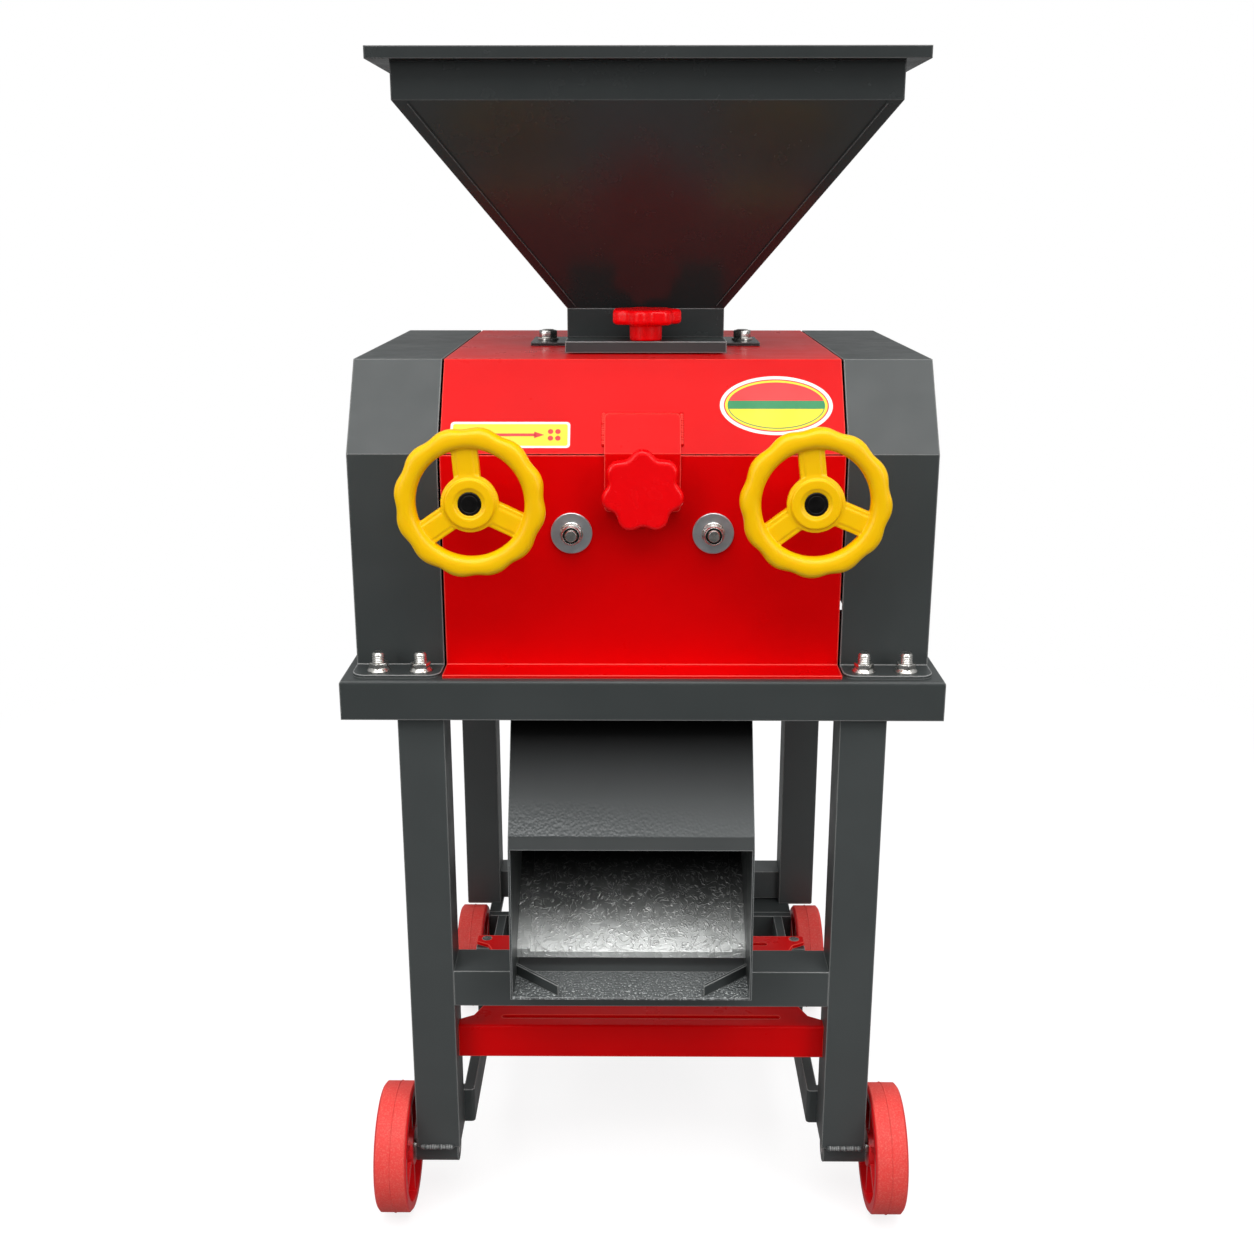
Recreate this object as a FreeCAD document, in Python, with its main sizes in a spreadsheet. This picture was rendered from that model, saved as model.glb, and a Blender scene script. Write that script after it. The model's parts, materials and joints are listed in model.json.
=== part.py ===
import FreeCAD, Part
import math
import os
import Sketcher

# A grain roller mill: a hopper and feed gate over two geared rollers in a folded steel housing,
# on a welded stand with a discharge chute, an empty motor plate and four wheels.
# X runs across the machine, the front faces -Y, +Z is up.
# The origin lies on the floor, midway between the wheel axles.

Vector = FreeCAD.Vector
Rotation = FreeCAD.Rotation
Placement = FreeCAD.Placement

# Driving dimensions in millimetres, angles in degrees.
SIZES = [
    # wheels and axles
    ("WheelRadius", 60.0),
    ("WheelWidth", 30.0),
    ("WheelRim", 10.0),
    ("WheelWeb", 6.0),
    ("WheelHubRadius", 17.0),
    ("WheelRib", 4.0),
    ("Wheelbase", 368.0),
    ("FrontWheelInner", 215.5),
    ("RearWheelInner", 184.0),
    ("SleeveRadius", 13.0),
    ("AxleRadius", 6.0),
    ("AxleHead", 10.0),
    ("WheelGap", 2.5),
    ("RunningGap", 0.05),
    # stand
    ("TableWidth", 514.0),
    ("TableDepth", 500.0),
    ("TableHeight", 537.0),
    ("TableSkirt", 35.0),
    ("TablePlate", 4.0),
    ("AxleSetback", 28.0),
    ("LegSize", 40.0),
    ("LegWall", 3.0),
    ("LegSpread", 420.0),
    ("LegSetback", 8.0),
    ("LegSpacing", 430.0),
    ("StretcherHeight", 35.0),
    ("FrontStretcherDrop", 279.0),
    ("RearStretcherTop", 146.0),
    ("RearStretcherDepth", 32.0),
    ("BarHeight", 35.0),
    ("BarThickness", 10.0),
    ("RearBarGap", 24.0),
    ("FootPlate", 5.0),
    ("LeftFootReach", 42.0),
    ("RightFootReach", 90.0),
    # motor plate
    ("MotorPlateDrop", 67.0),
    ("MotorPlateThickness", 4.0),
    ("MotorPlateFlange", 32.0),
    ("MotorPlateSetback", 18.0),
    ("MotorPlateDepth", 174.0),
    ("MotorPlateWaist", 150.0),
    ("MotorPlateEar", 12.0),
    ("MotorSlotLength", 262.0),
    ("MotorSlotWidth", 6.5),
    ("PostSize", 20.0),
    ("PostBoltRadius", 3.0),
    ("PostBoltLength", 22.0),
    # housing
    ("HousingHalf", 170.0),
    ("HousingFront", 38.0),
    ("HousingDepth", 426.0),
    ("HousingBend", 187.0),
    ("HousingTop", 260.5),
    ("ChamferRun", 53.0),
    ("PanelSheet", 3.0),
    ("PanelFlange", 31.0),
    ("PanelReturn", 18.0),
    ("HoodGap", 0.3),
    ("PanelTopGap", 0.9),
    ("CoverGap", 2.0),
    ("CoverOuter", 248.0),
    ("CoverSheet", 2.5),
    ("CoverCorner", 12.0),
    ("CoverBoltInner", 190.0),
    ("CoverBoltSpacing", 36.0),
    ("CoverBoltRadius", 5.0),
    ("CoverBoltSetback", 2.0),
    # rollers and their frames
    ("RollerAxis", 158.0),
    ("RollerRadius", 60.0),
    ("RollerLength", 220.0),
    ("RollerGap", 1.0),
    ("FluteDepth", 0.8),
    ("NipPlace", 255.0),
    ("ShaftRadius", 20.0),
    ("FrameThickness", 28.0),
    ("FrameCentre", 138.0),
    ("FrameTop", 222.0),
    ("FrameFront", 80.0),
    ("FrameRear", 430.0),
    ("FrameBoltRadius", 6.0),
    ("FrameBoltInset", 45.0),
    ("FrameBoltDepth", 28.0),
    ("BlockDepth", 84.0),
    ("BlockHeight", 80.0),
    ("BlockGap", 0.3),
    ("BlockFlange", 6.0),
    ("GapTravel", 5.0),
    ("BearingRadius", 42.0),
    ("BearingFlange", 9.0),
    ("GearModule", 4.0),
    ("GearWidth", 22.0),
    ("GearBacklash", 0.8),
    ("PulleyRadius", 80.0),
    ("PulleyWidth", 34.0),
    ("BeltRoom", 5.0),
    ("ScrewRadius", 8.0),
    ("ScrewGap", 0.3),
    ("ScrewHoleGap", 2.0),
    # handwheels and knobs
    ("WheelFace", 237.0),
    ("HandwheelRadius", 61.0),
    ("HandwheelRim", 8.5),
    ("HandwheelHub", 22.0),
    ("HandwheelSpoke", 19.5),
    ("HandwheelDepth", 16.0),
    ("HubProud", 6.0),
    ("HubRecess", 1.5),
    ("ScrewCapRadius", 9.6),
    ("ScallopRadius", 9.0),
    ("ScallopDepth", 2.2),
    ("LatchKnobRadius", 35.0),
    ("GateKnobRadius", 31.5),
    ("KnobThickness", 13.0),
    ("KnobStem", 14.0),
    ("KnobStemLength", 14.2),
    ("KnobNotch", 11.0),
    ("KnobBoss", 9.0),
    ("KnobGap", 3.2),
    ("StrapWidth", 64.0),
    ("StrapThickness", 4.0),
    ("StrapDrop", 48.0),
    ("StrapClimb", 0.43),
    ("StudRadius", 5.0),
    ("StudHeight", 160.0),
    ("StudReach", 24.0),
    # scrapers
    ("ScraperBoltSpacing", 120.0),
    ("ScraperBoltHeight", 120.0),
    ("ScraperBoltRadius", 6.0),
    ("FenderRadius", 17.5),
    ("ScraperWidth", 216.0),
    ("ScraperClearance", 1.0),
    ("ScraperSheet", 3.0),
    # chute
    ("ChuteOffset", 9.0),
    ("ChuteWidth", 211.0),
    ("ChuteSheet", 2.0),
    ("ApronReach", 45.0),
    ("MouthTopReach", 38.0),
    ("MouthHeight", 137.0),
    ("ChuteLipRise", 11.0),
    ("ChuteLipSetback", 4.0),
    ("ChuteRun", 77.0),
    ("TrayAngle", 38.0),
    ("TrayLipHeight", 17.0),
    ("TrayLipSetback", 6.0),
    ("TrayLength", 362.0),
    ("TraySheet", 1.5),
    ("TrayRail", 12.0),
    ("DeflectorHeight", 10.0),
    ("DeflectorReach", 40.0),
    ("ThroatDepth", 172.0),
    ("ThroatRear", 294.0),
    ("FunnelHeight", 62.0),
    # hopper
    ("HopperOffset", 3.0),
    ("HopperSheet", 2.0),
    ("NeckWidth", 143.0),
    ("NeckDepth", 143.0),
    ("NeckHeight", 37.0),
    ("SlopeHeight", 169.0),
    ("CollarWidth", 406.0),
    ("CollarHeight", 29.0),
    ("RimFlange", 17.0),
    ("RimLip", 9.5),
    ("EarLength", 70.0),
    ("EarReach", 36.5),
    ("EarBolt", 22.0),
    ("GateHeight", 11.0),
    ("GateLedge", 47.5),
    ("GateClearance", 1.2),
    ("GateKnobPlace", 32.5),
]


class Measure:
    """A number together with the sheet expression that it comes from."""

    def __init__(self, value, text):
        self.value = value
        self.text = text

    def joined(self, other, sign, value):
        return Measure(value, "(%s %s %s)" % (self.text, sign, other.text))

    def __add__(self, other):
        other = measure(other)
        return self.joined(other, "+", self.value + other.value)

    def __sub__(self, other):
        other = measure(other)
        return self.joined(other, "-", self.value - other.value)

    def __mul__(self, other):
        other = measure(other)
        return self.joined(other, "*", self.value * other.value)

    def __truediv__(self, other):
        other = measure(other)
        return self.joined(other, "/", self.value / other.value)

    def __radd__(self, other):
        return measure(other) + self

    def __rsub__(self, other):
        return measure(other) - self

    def __rmul__(self, other):
        return measure(other) * self

    def __neg__(self):
        return measure(0) - self


def measure(value):
    if isinstance(value, Measure):
        return value
    return Measure(float(value), repr(float(value)))


def root(value):
    return Measure(math.sqrt(value.value), "sqrt(%s)" % value.text)


def cosine(angle):
    return Measure(math.cos(math.radians(angle.value)), "cos(%s)" % angle.text)


def sine(angle):
    return Measure(math.sin(math.radians(angle.value)), "sin(%s)" % angle.text)


class Sizes:
    """The driving dimensions, by name."""


doc = FreeCAD.newDocument("GrainRollerMill")
sheet = doc.addObject("Spreadsheet::Sheet", "Sizes")
s = Sizes()
for row, (name, number) in enumerate(SIZES, start=1):
    sheet.set("A%d" % row, name)
    sheet.set("B%d" % row, str(number))
    sheet.setAlias("B%d" % row, name)
    setattr(s, name, Measure(number, "Sizes." + name))
doc.recompute()

nodes = {}


def bind(item, prop, amount):
    amount = measure(amount)
    item.setExpression(prop, amount.text)


def keep(item, label):
    """Names a finished sub-part; its label names its file."""
    item.Label = label
    nodes[label] = item
    return item


# Part primitives

def block(name, x, y, z):
    """A box between pairs of positions along X, Y and Z."""
    item = doc.addObject("Part::Box", name)
    for prop, (low, high) in (("Length", x), ("Width", y), ("Height", z)):
        bind(item, prop, measure(high) - low)
    for prop, (low, high) in (("x", x), ("y", y), ("z", z)):
        bind(item, "Placement.Base." + prop, low)
    return item


TURNS = {
    "X": Rotation(Vector(0, 1, 0), 90),
    "Y": Rotation(Vector(1, 0, 0), -90),
    "Z": Rotation(),
}


def rod(name, axis, centre, radius, low, high):
    """A cylinder along an axis; centre holds the two other coordinates in X, Y, Z order."""
    item = doc.addObject("Part::Cylinder", name)
    item.Placement = Placement(Vector(), TURNS[axis])
    bind(item, "Radius", radius)
    bind(item, "Height", measure(high) - low)
    places = list(centre)
    places.insert("XYZ".index(axis), low)
    for prop, place in zip("xyz", places):
        bind(item, "Placement.Base." + prop, place)
    return item


def fused(name, items):
    item = doc.addObject("Part::MultiFuse", name)
    item.Shapes = items
    item.Refine = True
    return item


def cut(name, base, tools):
    item = doc.addObject("Part::Cut", name)
    item.Base = base
    item.Tool = tools[0] if len(tools) == 1 else fused(name + "Tools", tools)
    return item


def group(name, items):
    """Separate solids in one sub-part."""
    item = doc.addObject("Part::Compound", name)
    item.Links = items
    return item


def hexagon(name, axis, centre, across, low, high):
    item = doc.addObject("Part::Prism", name)
    item.Polygon = 6
    item.Placement = Placement(Vector(), TURNS[axis])
    bind(item, "Circumradius", measure(across) / math.sqrt(3))
    bind(item, "Height", measure(high) - low)
    places = list(centre)
    places.insert("XYZ".index(axis), low)
    for prop, place in zip("xyz", places):
        bind(item, "Placement.Base." + prop, place)
    return item


# PartDesign helpers

ROLES = {"Z": "XY_Plane", "Y": "XZ_Plane", "X": "YZ_Plane"}
NORMALS = {"Z": 1, "Y": -1, "X": 1}


def new_body(label):
    return doc.addObject("PartDesign::Body", label)


def draw(body, name, axis, place, polygons=(), circles=()):
    """A sketch square to an axis at a place along it, each point tied to the sheet."""
    sketch = body.newObject("Sketcher::SketchObject", name)
    plane = [item for item in body.Origin.OriginFeatures if item.Role == ROLES[axis]][0]
    sketch.AttachmentSupport = [(plane, "")]
    sketch.MapMode = "FlatFace"
    offset = NORMALS[axis] * measure(place)
    sketch.AttachmentOffset = Placement(Vector(0, 0, offset.value), Rotation())
    bind(sketch, "AttachmentOffset.Base.z", offset)
    for polygon in polygons:
        points = [(measure(u), measure(v)) for u, v in polygon]
        first = sketch.GeometryCount
        for (u, v), (u_next, v_next) in zip(points, points[1:] + points[:1]):
            start = Vector(u.value, v.value, 0)
            end = Vector(u_next.value, v_next.value, 0)
            sketch.addGeometry(Part.LineSegment(start, end), False)
        for step in range(len(points)):
            following = first + (step + 1) % len(points)
            sketch.addConstraint(Sketcher.Constraint("Coincident", first + step, 2, following, 1))
        for step, (u, v) in enumerate(points):
            hold(sketch, "DistanceX", first + step, 1, u)
            hold(sketch, "DistanceY", first + step, 1, v)
    for u, v, radius in circles:
        u, v, radius = measure(u), measure(v), measure(radius)
        circle = Part.Circle(Vector(u.value, v.value, 0), Vector(0, 0, 1), radius.value)
        index = sketch.addGeometry(circle, False)
        hold(sketch, "DistanceX", index, 3, u)
        hold(sketch, "DistanceY", index, 3, v)
        number = sketch.addConstraint(Sketcher.Constraint("Radius", index, radius.value))
        sketch.setExpression("Constraints[%d]" % number, radius.text)
    return sketch


def hold(sketch, kind, index, point, amount):
    number = sketch.addConstraint(Sketcher.Constraint(kind, index, point, amount.value))
    sketch.setExpression("Constraints[%d]" % number, amount.text)


def pad(body, name, axis, low, high, polygons=(), circles=()):
    """Adds a prism between two places along an axis."""
    start = high if axis == "Y" else low
    sketch = draw(body, name + "Sketch", axis, start, polygons, circles)
    item = body.newObject("PartDesign::Pad", name)
    item.Profile = sketch
    bind(item, "Length", measure(high) - low)
    return item


def pocket(body, name, axis, low, high, polygons=(), circles=()):
    """Cuts a prism between two places along an axis."""
    start = low if axis == "Y" else high
    sketch = draw(body, name + "Sketch", axis, start, polygons, circles)
    item = body.newObject("PartDesign::Pocket", name)
    item.Profile = sketch
    bind(item, "Length", measure(high) - low)
    return item


def revolved(body, name, axis, profile):
    """A full turn about the sketch's horizontal or vertical axis."""
    sketch = draw(body, name + "Sketch", "Y", 0, [profile])
    item = body.newObject("PartDesign::Revolution", name)
    item.Profile = sketch
    item.ReferenceAxis = (sketch, [axis])
    item.Angle = 360
    return item


def rounded(body, name, radius, chosen):
    """Rounds the edges of the body so far that a test picks by their middle point."""
    doc.recompute()
    base = body.Tip
    names = []
    for number, edge in enumerate(base.Shape.Edges, start=1):
        if chosen(edge):
            names.append("Edge%d" % number)
    item = body.newObject("PartDesign::Fillet", name)
    item.Base = (base, names)
    bind(item, "Radius", radius)
    return item


def runs_along(edge, axis):
    """True for a straight edge parallel to an axis."""
    ends = [vertex.Point for vertex in edge.Vertexes]
    if len(ends) != 2:
        return False
    span = ends[1] - ends[0]
    lengths = {"X": abs(span.x), "Y": abs(span.y), "Z": abs(span.z)}
    return span.Length - lengths[axis] < 1e-6


def rectangle(u, v):
    return [(u[0], v[0]), (u[1], v[0]), (u[1], v[1]), (u[0], v[1])]


def spoke(centre_u, centre_v, angle, inner, outer, width):
    """A rectangle that points away from a centre at an angle in degrees."""
    along = (math.cos(math.radians(angle)), math.sin(math.radians(angle)))
    across = (-along[1], along[0])
    corners = ((inner, -0.5), (outer, -0.5), (outer, 0.5), (inner, 0.5))
    points = []
    for reach, side in corners:
        u = centre_u + reach * along[0] + width * (side * across[0])
        v = centre_v + reach * along[1] + width * (side * across[1])
        points.append((u, v))
    return points


def ring_of_circles(centre_u, centre_v, reach, radius, count, start):
    circles = []
    for step in range(count):
        angle = math.radians(start + 360.0 * step / count)
        circles.append((centre_u + reach * math.cos(angle), centre_v + reach * math.sin(angle), radius))
    return circles


def sides(side, near, far):
    """The span between two distances from the middle plane, on the left (-1) or right (1)."""
    return (near, far) if side > 0 else (-far, -near)


SIDE_NAMES = {-1: "left", 1: "right"}
KNOB_LOBES = 7
FIRST_NOTCH = 12

# Places that several sub-parts share.

axle_height = s.WheelRadius
front_axle = -s.Wheelbase / 2
rear_axle = s.Wheelbase / 2
table_front = front_axle - s.AxleSetback
table_rear = table_front + s.TableDepth
table_top = s.TableHeight
plate_under = table_top - s.TablePlate
front_stretcher_top = table_top - s.FrontStretcherDrop
motor_plate_top = front_stretcher_top - s.MotorPlateDrop
leg_outer = s.LegSpread / 2
leg_inner = leg_outer - s.LegSize
front_leg = (table_front + s.LegSetback, table_front + s.LegSetback + s.LegSize)
rear_leg = (front_leg[0] + s.LegSpacing, front_leg[1] + s.LegSpacing)
low_under = axle_height + s.SleeveRadius
low_top = low_under + s.BarHeight
rear_bar = (rear_leg[0] - s.RearBarGap - s.BarThickness, rear_leg[0] - s.RearBarGap)

housing_front = table_front + s.HousingFront
housing_rear = housing_front + s.HousingDepth
bend_height = table_top + s.HousingBend
housing_top = table_top + s.HousingTop
chamfer_rise = s.HousingTop - s.HousingBend
chamfer_length = root(s.ChamferRun * s.ChamferRun + chamfer_rise * chamfer_rise)

roller_height = table_top + s.RollerAxis
nip = table_front + s.NipPlace
rear_roller = nip + s.RollerRadius + s.RollerGap / 2
front_roller = nip - s.RollerRadius - s.RollerGap / 2
frame_inner = s.FrameCentre - s.FrameThickness / 2
frame_outer = s.FrameCentre + s.FrameThickness / 2
frame_front = table_front + s.FrameFront
frame_rear = table_front + s.FrameRear


def housing_profile(inset):
    """The housing's outline in Y and Z, drawn in by a sheet thickness."""
    slope_out = inset * (chamfer_length - chamfer_rise) / s.ChamferRun
    top_in = inset * (chamfer_length - s.ChamferRun) / chamfer_rise
    return [
        (housing_front + inset, table_top),
        (housing_front + inset, bend_height - slope_out),
        (housing_front + s.ChamferRun + top_in, housing_top - inset),
        (housing_rear - s.ChamferRun - top_in, housing_top - inset),
        (housing_rear - inset, bend_height - slope_out),
        (housing_rear - inset, table_top),
    ]


# Stand

def make_table():
    """A folded tray with a discharge opening; its skirts turn down round the legs."""
    body = new_body("table_frame")
    x = (-s.TableWidth / 2, s.TableWidth / 2)
    y = (table_front, table_rear)
    pad(body, "TablePad", "Z", table_top - s.TableSkirt, table_top, [rectangle(x, y)])
    inner = rectangle((x[0] + s.TablePlate, x[1] - s.TablePlate), (y[0] + s.TablePlate, y[1] - s.TablePlate))
    pocket(body, "TableHollow", "Z", table_top - s.TableSkirt, plate_under, [inner])
    slot = rectangle((pulley_start - s.BeltRoom, pulley_end + s.BeltRoom),
                     (rear_roller - s.PulleyRadius - s.BeltRoom, rear_roller + s.PulleyRadius + s.BeltRoom))
    pocket(body, "TableOpenings", "Z", plate_under, table_top, [throat_outline(s.ChuteSheet), slot])
    holes = [place + (s.FrameBoltRadius,) for place in frame_bolt_places()]
    pocket(body, "TableBoltHoles", "Z", plate_under, table_top, [], holes)
    rounded(body, "TableCorners", s.TablePlate * 0.75,
            lambda edge: edge.BoundBox.ZMin > table_top.value - 0.01
            and abs(abs(edge.CenterOfMass.x) - x[1].value) < 0.01
            or edge.BoundBox.ZMin > table_top.value - 0.01
            and (abs(edge.CenterOfMass.y - y[0].value) < 0.01 or abs(edge.CenterOfMass.y - y[1].value) < 0.01))
    keep(body, "table_frame")


def throat_outline(inset):
    """The discharge opening, in plan."""
    half = s.ChuteWidth / 2 - s.ChuteSheet - 1 - inset
    x = (-s.ChuteOffset - half, -s.ChuteOffset + half)
    rear = table_front + s.ThroatRear - inset
    return rectangle(x, (table_front + s.ThroatRear - s.ThroatDepth + inset, rear))


def frame_bolt_places():
    """The bolts that hold the roller frames on the table, in plan."""
    places = []
    for side in (-1, 1):
        for line in (frame_front + s.FrameBoltInset, frame_rear - s.FrameBoltInset):
            places.append((side * s.FrameCentre, line))
    return places


def make_leg(side, place, bottom, label):
    x = sides(side, leg_inner, leg_outer)
    wall = s.LegWall
    outer = block(label + "_tube", x, place, (bottom, plate_under))
    hollow = block(label + "_hollow", (x[0] + wall, x[1] - wall), (place[0] + wall, place[1] - wall),
                   (bottom, plate_under))
    keep(cut(label, outer, [hollow]), label)


def make_stretcher(y, top, label):
    wall = s.LegWall
    x = (-leg_inner, leg_inner)
    z = (top - s.StretcherHeight, top)
    outer = block(label + "_tube", x, y, z)
    hollow = block(label + "_hollow", x, (y[0] + wall, y[1] - wall), (z[0] + wall, z[1] - wall))
    keep(cut(label, outer, [hollow]), label)


def make_low_bar(side):
    """A flat bar on edge, bent out behind the front leg."""
    label = "low_side_bar_" + SIDE_NAMES[side]
    inner = leg_inner - s.BarThickness
    outline = [
        (side * inner, front_leg[1]),
        (side * leg_outer, front_leg[1]),
        (side * leg_outer, front_leg[1] + s.BarThickness),
        (side * leg_inner, front_leg[1] + s.BarThickness),
        (side * leg_inner, rear_bar[0]),
        (side * inner, rear_bar[0]),
    ]
    body = new_body(label)
    pad(body, label + "_pad", "Z", low_under, low_top, [outline])
    corner = Vector(side * inner.value, front_leg[1].value, low_under.value)
    rounded(body, label + "_bend", s.BarThickness * 0.35,
            lambda edge: runs_along(edge, "Z") and (edge.Vertexes[0].Point - corner).Length
            + (edge.Vertexes[1].Point - corner).Length < s.BarHeight.value + 0.01)
    keep(body, label)


def make_foot_plates():
    """Plates behind the rear bar that carry the rear legs, cut back behind the wheels."""
    plates = []
    for side, reach in ((-1, s.LeftFootReach), (1, s.RightFootReach)):
        inner = leg_outer - reach
        wheel_side = s.RearWheelInner - s.WheelGap
        notch_rear = rear_leg[0] + s.BarThickness * 0.8
        body = new_body("foot_plate_" + SIDE_NAMES[side])
        outline = [
            (side * inner, rear_bar[1]),
            (side * wheel_side, rear_bar[1]),
            (side * wheel_side, notch_rear),
            (side * leg_outer, notch_rear),
            (side * leg_outer, rear_leg[1]),
            (side * inner, rear_leg[1]),
        ]
        pad(body, "FootPad" + SIDE_NAMES[side], "Z", low_top - s.FootPlate, low_top, [outline])
        plates.append(body)
    keep(group("foot_plates", plates), "foot_plates")


def make_stand():
    make_table()
    for side in (-1, 1):
        make_leg(side, front_leg, low_under, "leg_front_" + SIDE_NAMES[side])
        make_leg(side, rear_leg, low_top, "leg_rear_" + SIDE_NAMES[side])
        make_low_bar(side)
    make_stretcher(front_leg, front_stretcher_top, "front_stretcher")
    rear = (rear_leg[1] - s.RearStretcherDepth, rear_leg[1])
    make_stretcher(rear, s.RearStretcherTop, "rear_stretcher")
    half = s.RearWheelInner - s.WheelGap
    keep(block("rear_bar", (-half, half), rear_bar, (low_under, low_top)), "rear_bar")
    make_foot_plates()


# Wheels

def wheel_spans():
    """Each wheel's name, side, axle line and inner face."""
    return [
        ("front_left", -1, front_axle, s.FrontWheelInner),
        ("front_right", 1, front_axle, s.FrontWheelInner),
        ("rear_left", -1, rear_axle, s.RearWheelInner),
        ("rear_right", 1, rear_axle, s.RearWheelInner),
    ]


def make_axles():
    sleeves = []
    bolts = []
    for name, side, line, inner in wheel_spans():
        centre = (line, axle_height)
        bore = s.AxleRadius + s.RunningGap
        sleeve_end = inner - s.WheelGap
        sleeve_start = sleeve_end - s.LegSize
        wheel_end = inner + s.WheelWidth
        x = sides(side, sleeve_start, sleeve_end)
        sleeve = rod("Sleeve_" + name, "X", centre, s.SleeveRadius, x[0], x[1])
        hole = rod("SleeveBore_" + name, "X", centre, s.AxleRadius, x[0], x[1])
        sleeves.append(cut("AxleSleeve_" + name, sleeve, [hole]))
        x = sides(side, sleeve_start, wheel_end + 1)
        shank = rod("Shank_" + name, "X", centre, s.AxleRadius, x[0], x[1])
        x = sides(side, wheel_end + 1, wheel_end + 1 + s.AxleHead * 0.7)
        head = hexagon("Head_" + name, "X", centre, s.AxleHead * 1.9, x[0], x[1])
        bolts.append(fused("AxleBolt_" + name, [shank, head]))
        make_wheel(name, side, line, inner, bore)
    keep(group("axle_sleeves", sleeves), "axle_sleeves")
    keep(group("axle_bolts", bolts), "axle_bolts")


def make_wheel(name, side, line, inner, bore):
    """A moulded wheel: crowned tread with a parting ridge, web, hub and ribs on both sides."""
    label = "wheel_" + name
    body = new_body(label)
    middle = side * (inner + s.WheelWidth / 2)
    half = s.WheelWidth / 2
    crown = s.WheelRim * 0.2
    ridge = s.WheelRim * 0.06
    rim = s.WheelRadius - s.WheelRim
    web = s.WheelWeb / 2
    profile = [
        (-half, bore),
        (half, bore),
        (half, s.WheelHubRadius),
        (web, s.WheelHubRadius + crown),
        (web, rim - crown),
        (half, rim),
        (half, s.WheelRadius - crown * 1.5),
        (half - crown, s.WheelRadius - ridge),
        (ridge, s.WheelRadius - ridge),
        (0, s.WheelRadius),
        (-ridge, s.WheelRadius - ridge),
        (crown - half, s.WheelRadius - ridge),
        (-half, s.WheelRadius - crown * 1.5),
        (-half, rim),
        (-web, rim - crown),
        (-web, s.WheelHubRadius + crown),
        (-half, s.WheelHubRadius),
    ]
    revolved(body, label + "_turned", "H_Axis", profile)
    ribs = []
    for step in range(6):
        ribs.append(spoke(measure(0), measure(0), 60 * step + 30, s.WheelHubRadius - 1, rim + 1, s.WheelRib))
    reach = half - crown
    pad(body, label + "_ribs", "X", -reach, reach, ribs)
    bind(body, "Placement.Base.x", middle)
    bind(body, "Placement.Base.y", line)
    bind(body, "Placement.Base.z", axle_height)
    keep(body, label)


# Motor plate

def make_motor_plate():
    """A folded plate with ears at its corners, a waist between them and two motor slots."""
    body = new_body("motor_plate")
    front = front_leg[0] + s.MotorPlateSetback
    rear = front + s.MotorPlateDepth
    half = leg_inner
    waist = s.MotorPlateWaist
    ear = s.MotorPlateEar
    right = [
        (half, front),
        (half, front + ear),
        (waist + ear * 0.6, front + ear * 1.6),
        (waist, front + ear * 3),
        (waist, rear - ear * 3),
        (waist + ear * 0.6, rear - ear * 1.6),
        (half, rear - ear),
        (half, rear),
    ]
    left = [(-u, v) for u, v in reversed(right)]
    z = (motor_plate_top - s.MotorPlateThickness, motor_plate_top)
    pad(body, "MotorPlatePad", "Z", z[0], z[1], [right + left])
    flange = rectangle((-half, half), (front, front + s.MotorPlateThickness))
    pad(body, "MotorFlange", "Z", motor_plate_top - s.MotorPlateFlange, z[1], [flange])
    slots = []
    ends = []
    for line in (front + ear * 1.4, rear - ear * 1.4):
        reach = s.MotorSlotLength / 2 - s.MotorSlotWidth / 2
        slots.append(rectangle((-reach, reach), (line - s.MotorSlotWidth / 2, line + s.MotorSlotWidth / 2)))
        for side in (-1, 1):
            ends.append((side * reach, line, s.MotorSlotWidth / 2))
    pocket(body, "MotorSlots", "Z", z[0], z[1], slots)
    pocket(body, "MotorSlotEnds", "Z", z[0], z[1], [], ends)
    rounded(body, "MotorFold", s.MotorPlateThickness * 0.6,
            lambda edge: runs_along(edge, "X") and abs(edge.CenterOfMass.y - front.value) < 0.01
            and abs(edge.CenterOfMass.z - z[1].value) < 0.01)
    sinks = [countersink("MotorPlateSink%d" % step, place) for step, place in enumerate(post_bolt_places())]
    keep(cut("motor_plate", body, sinks), "motor_plate")


def post_bolt_places():
    """The bolts that hold the plate's rear ears on their posts, in plan."""
    rear = front_leg[0] + s.MotorPlateSetback + s.MotorPlateDepth
    reach = leg_inner - s.PostSize / 2
    return [(-reach, rear - s.MotorPlateEar / 2), (reach, rear - s.MotorPlateEar / 2)]


def countersink(name, place):
    """A cone through the motor plate, the shape of a flat bolt head."""
    cone = doc.addObject("Part::Cone", name)
    bind(cone, "Radius1", s.PostBoltRadius)
    bind(cone, "Radius2", s.MotorPlateEar * 0.42)
    bind(cone, "Height", s.MotorPlateThickness)
    bind(cone, "Placement.Base.x", place[0])
    bind(cone, "Placement.Base.y", place[1])
    bind(cone, "Placement.Base.z", motor_plate_top - s.MotorPlateThickness)
    return cone


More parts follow.
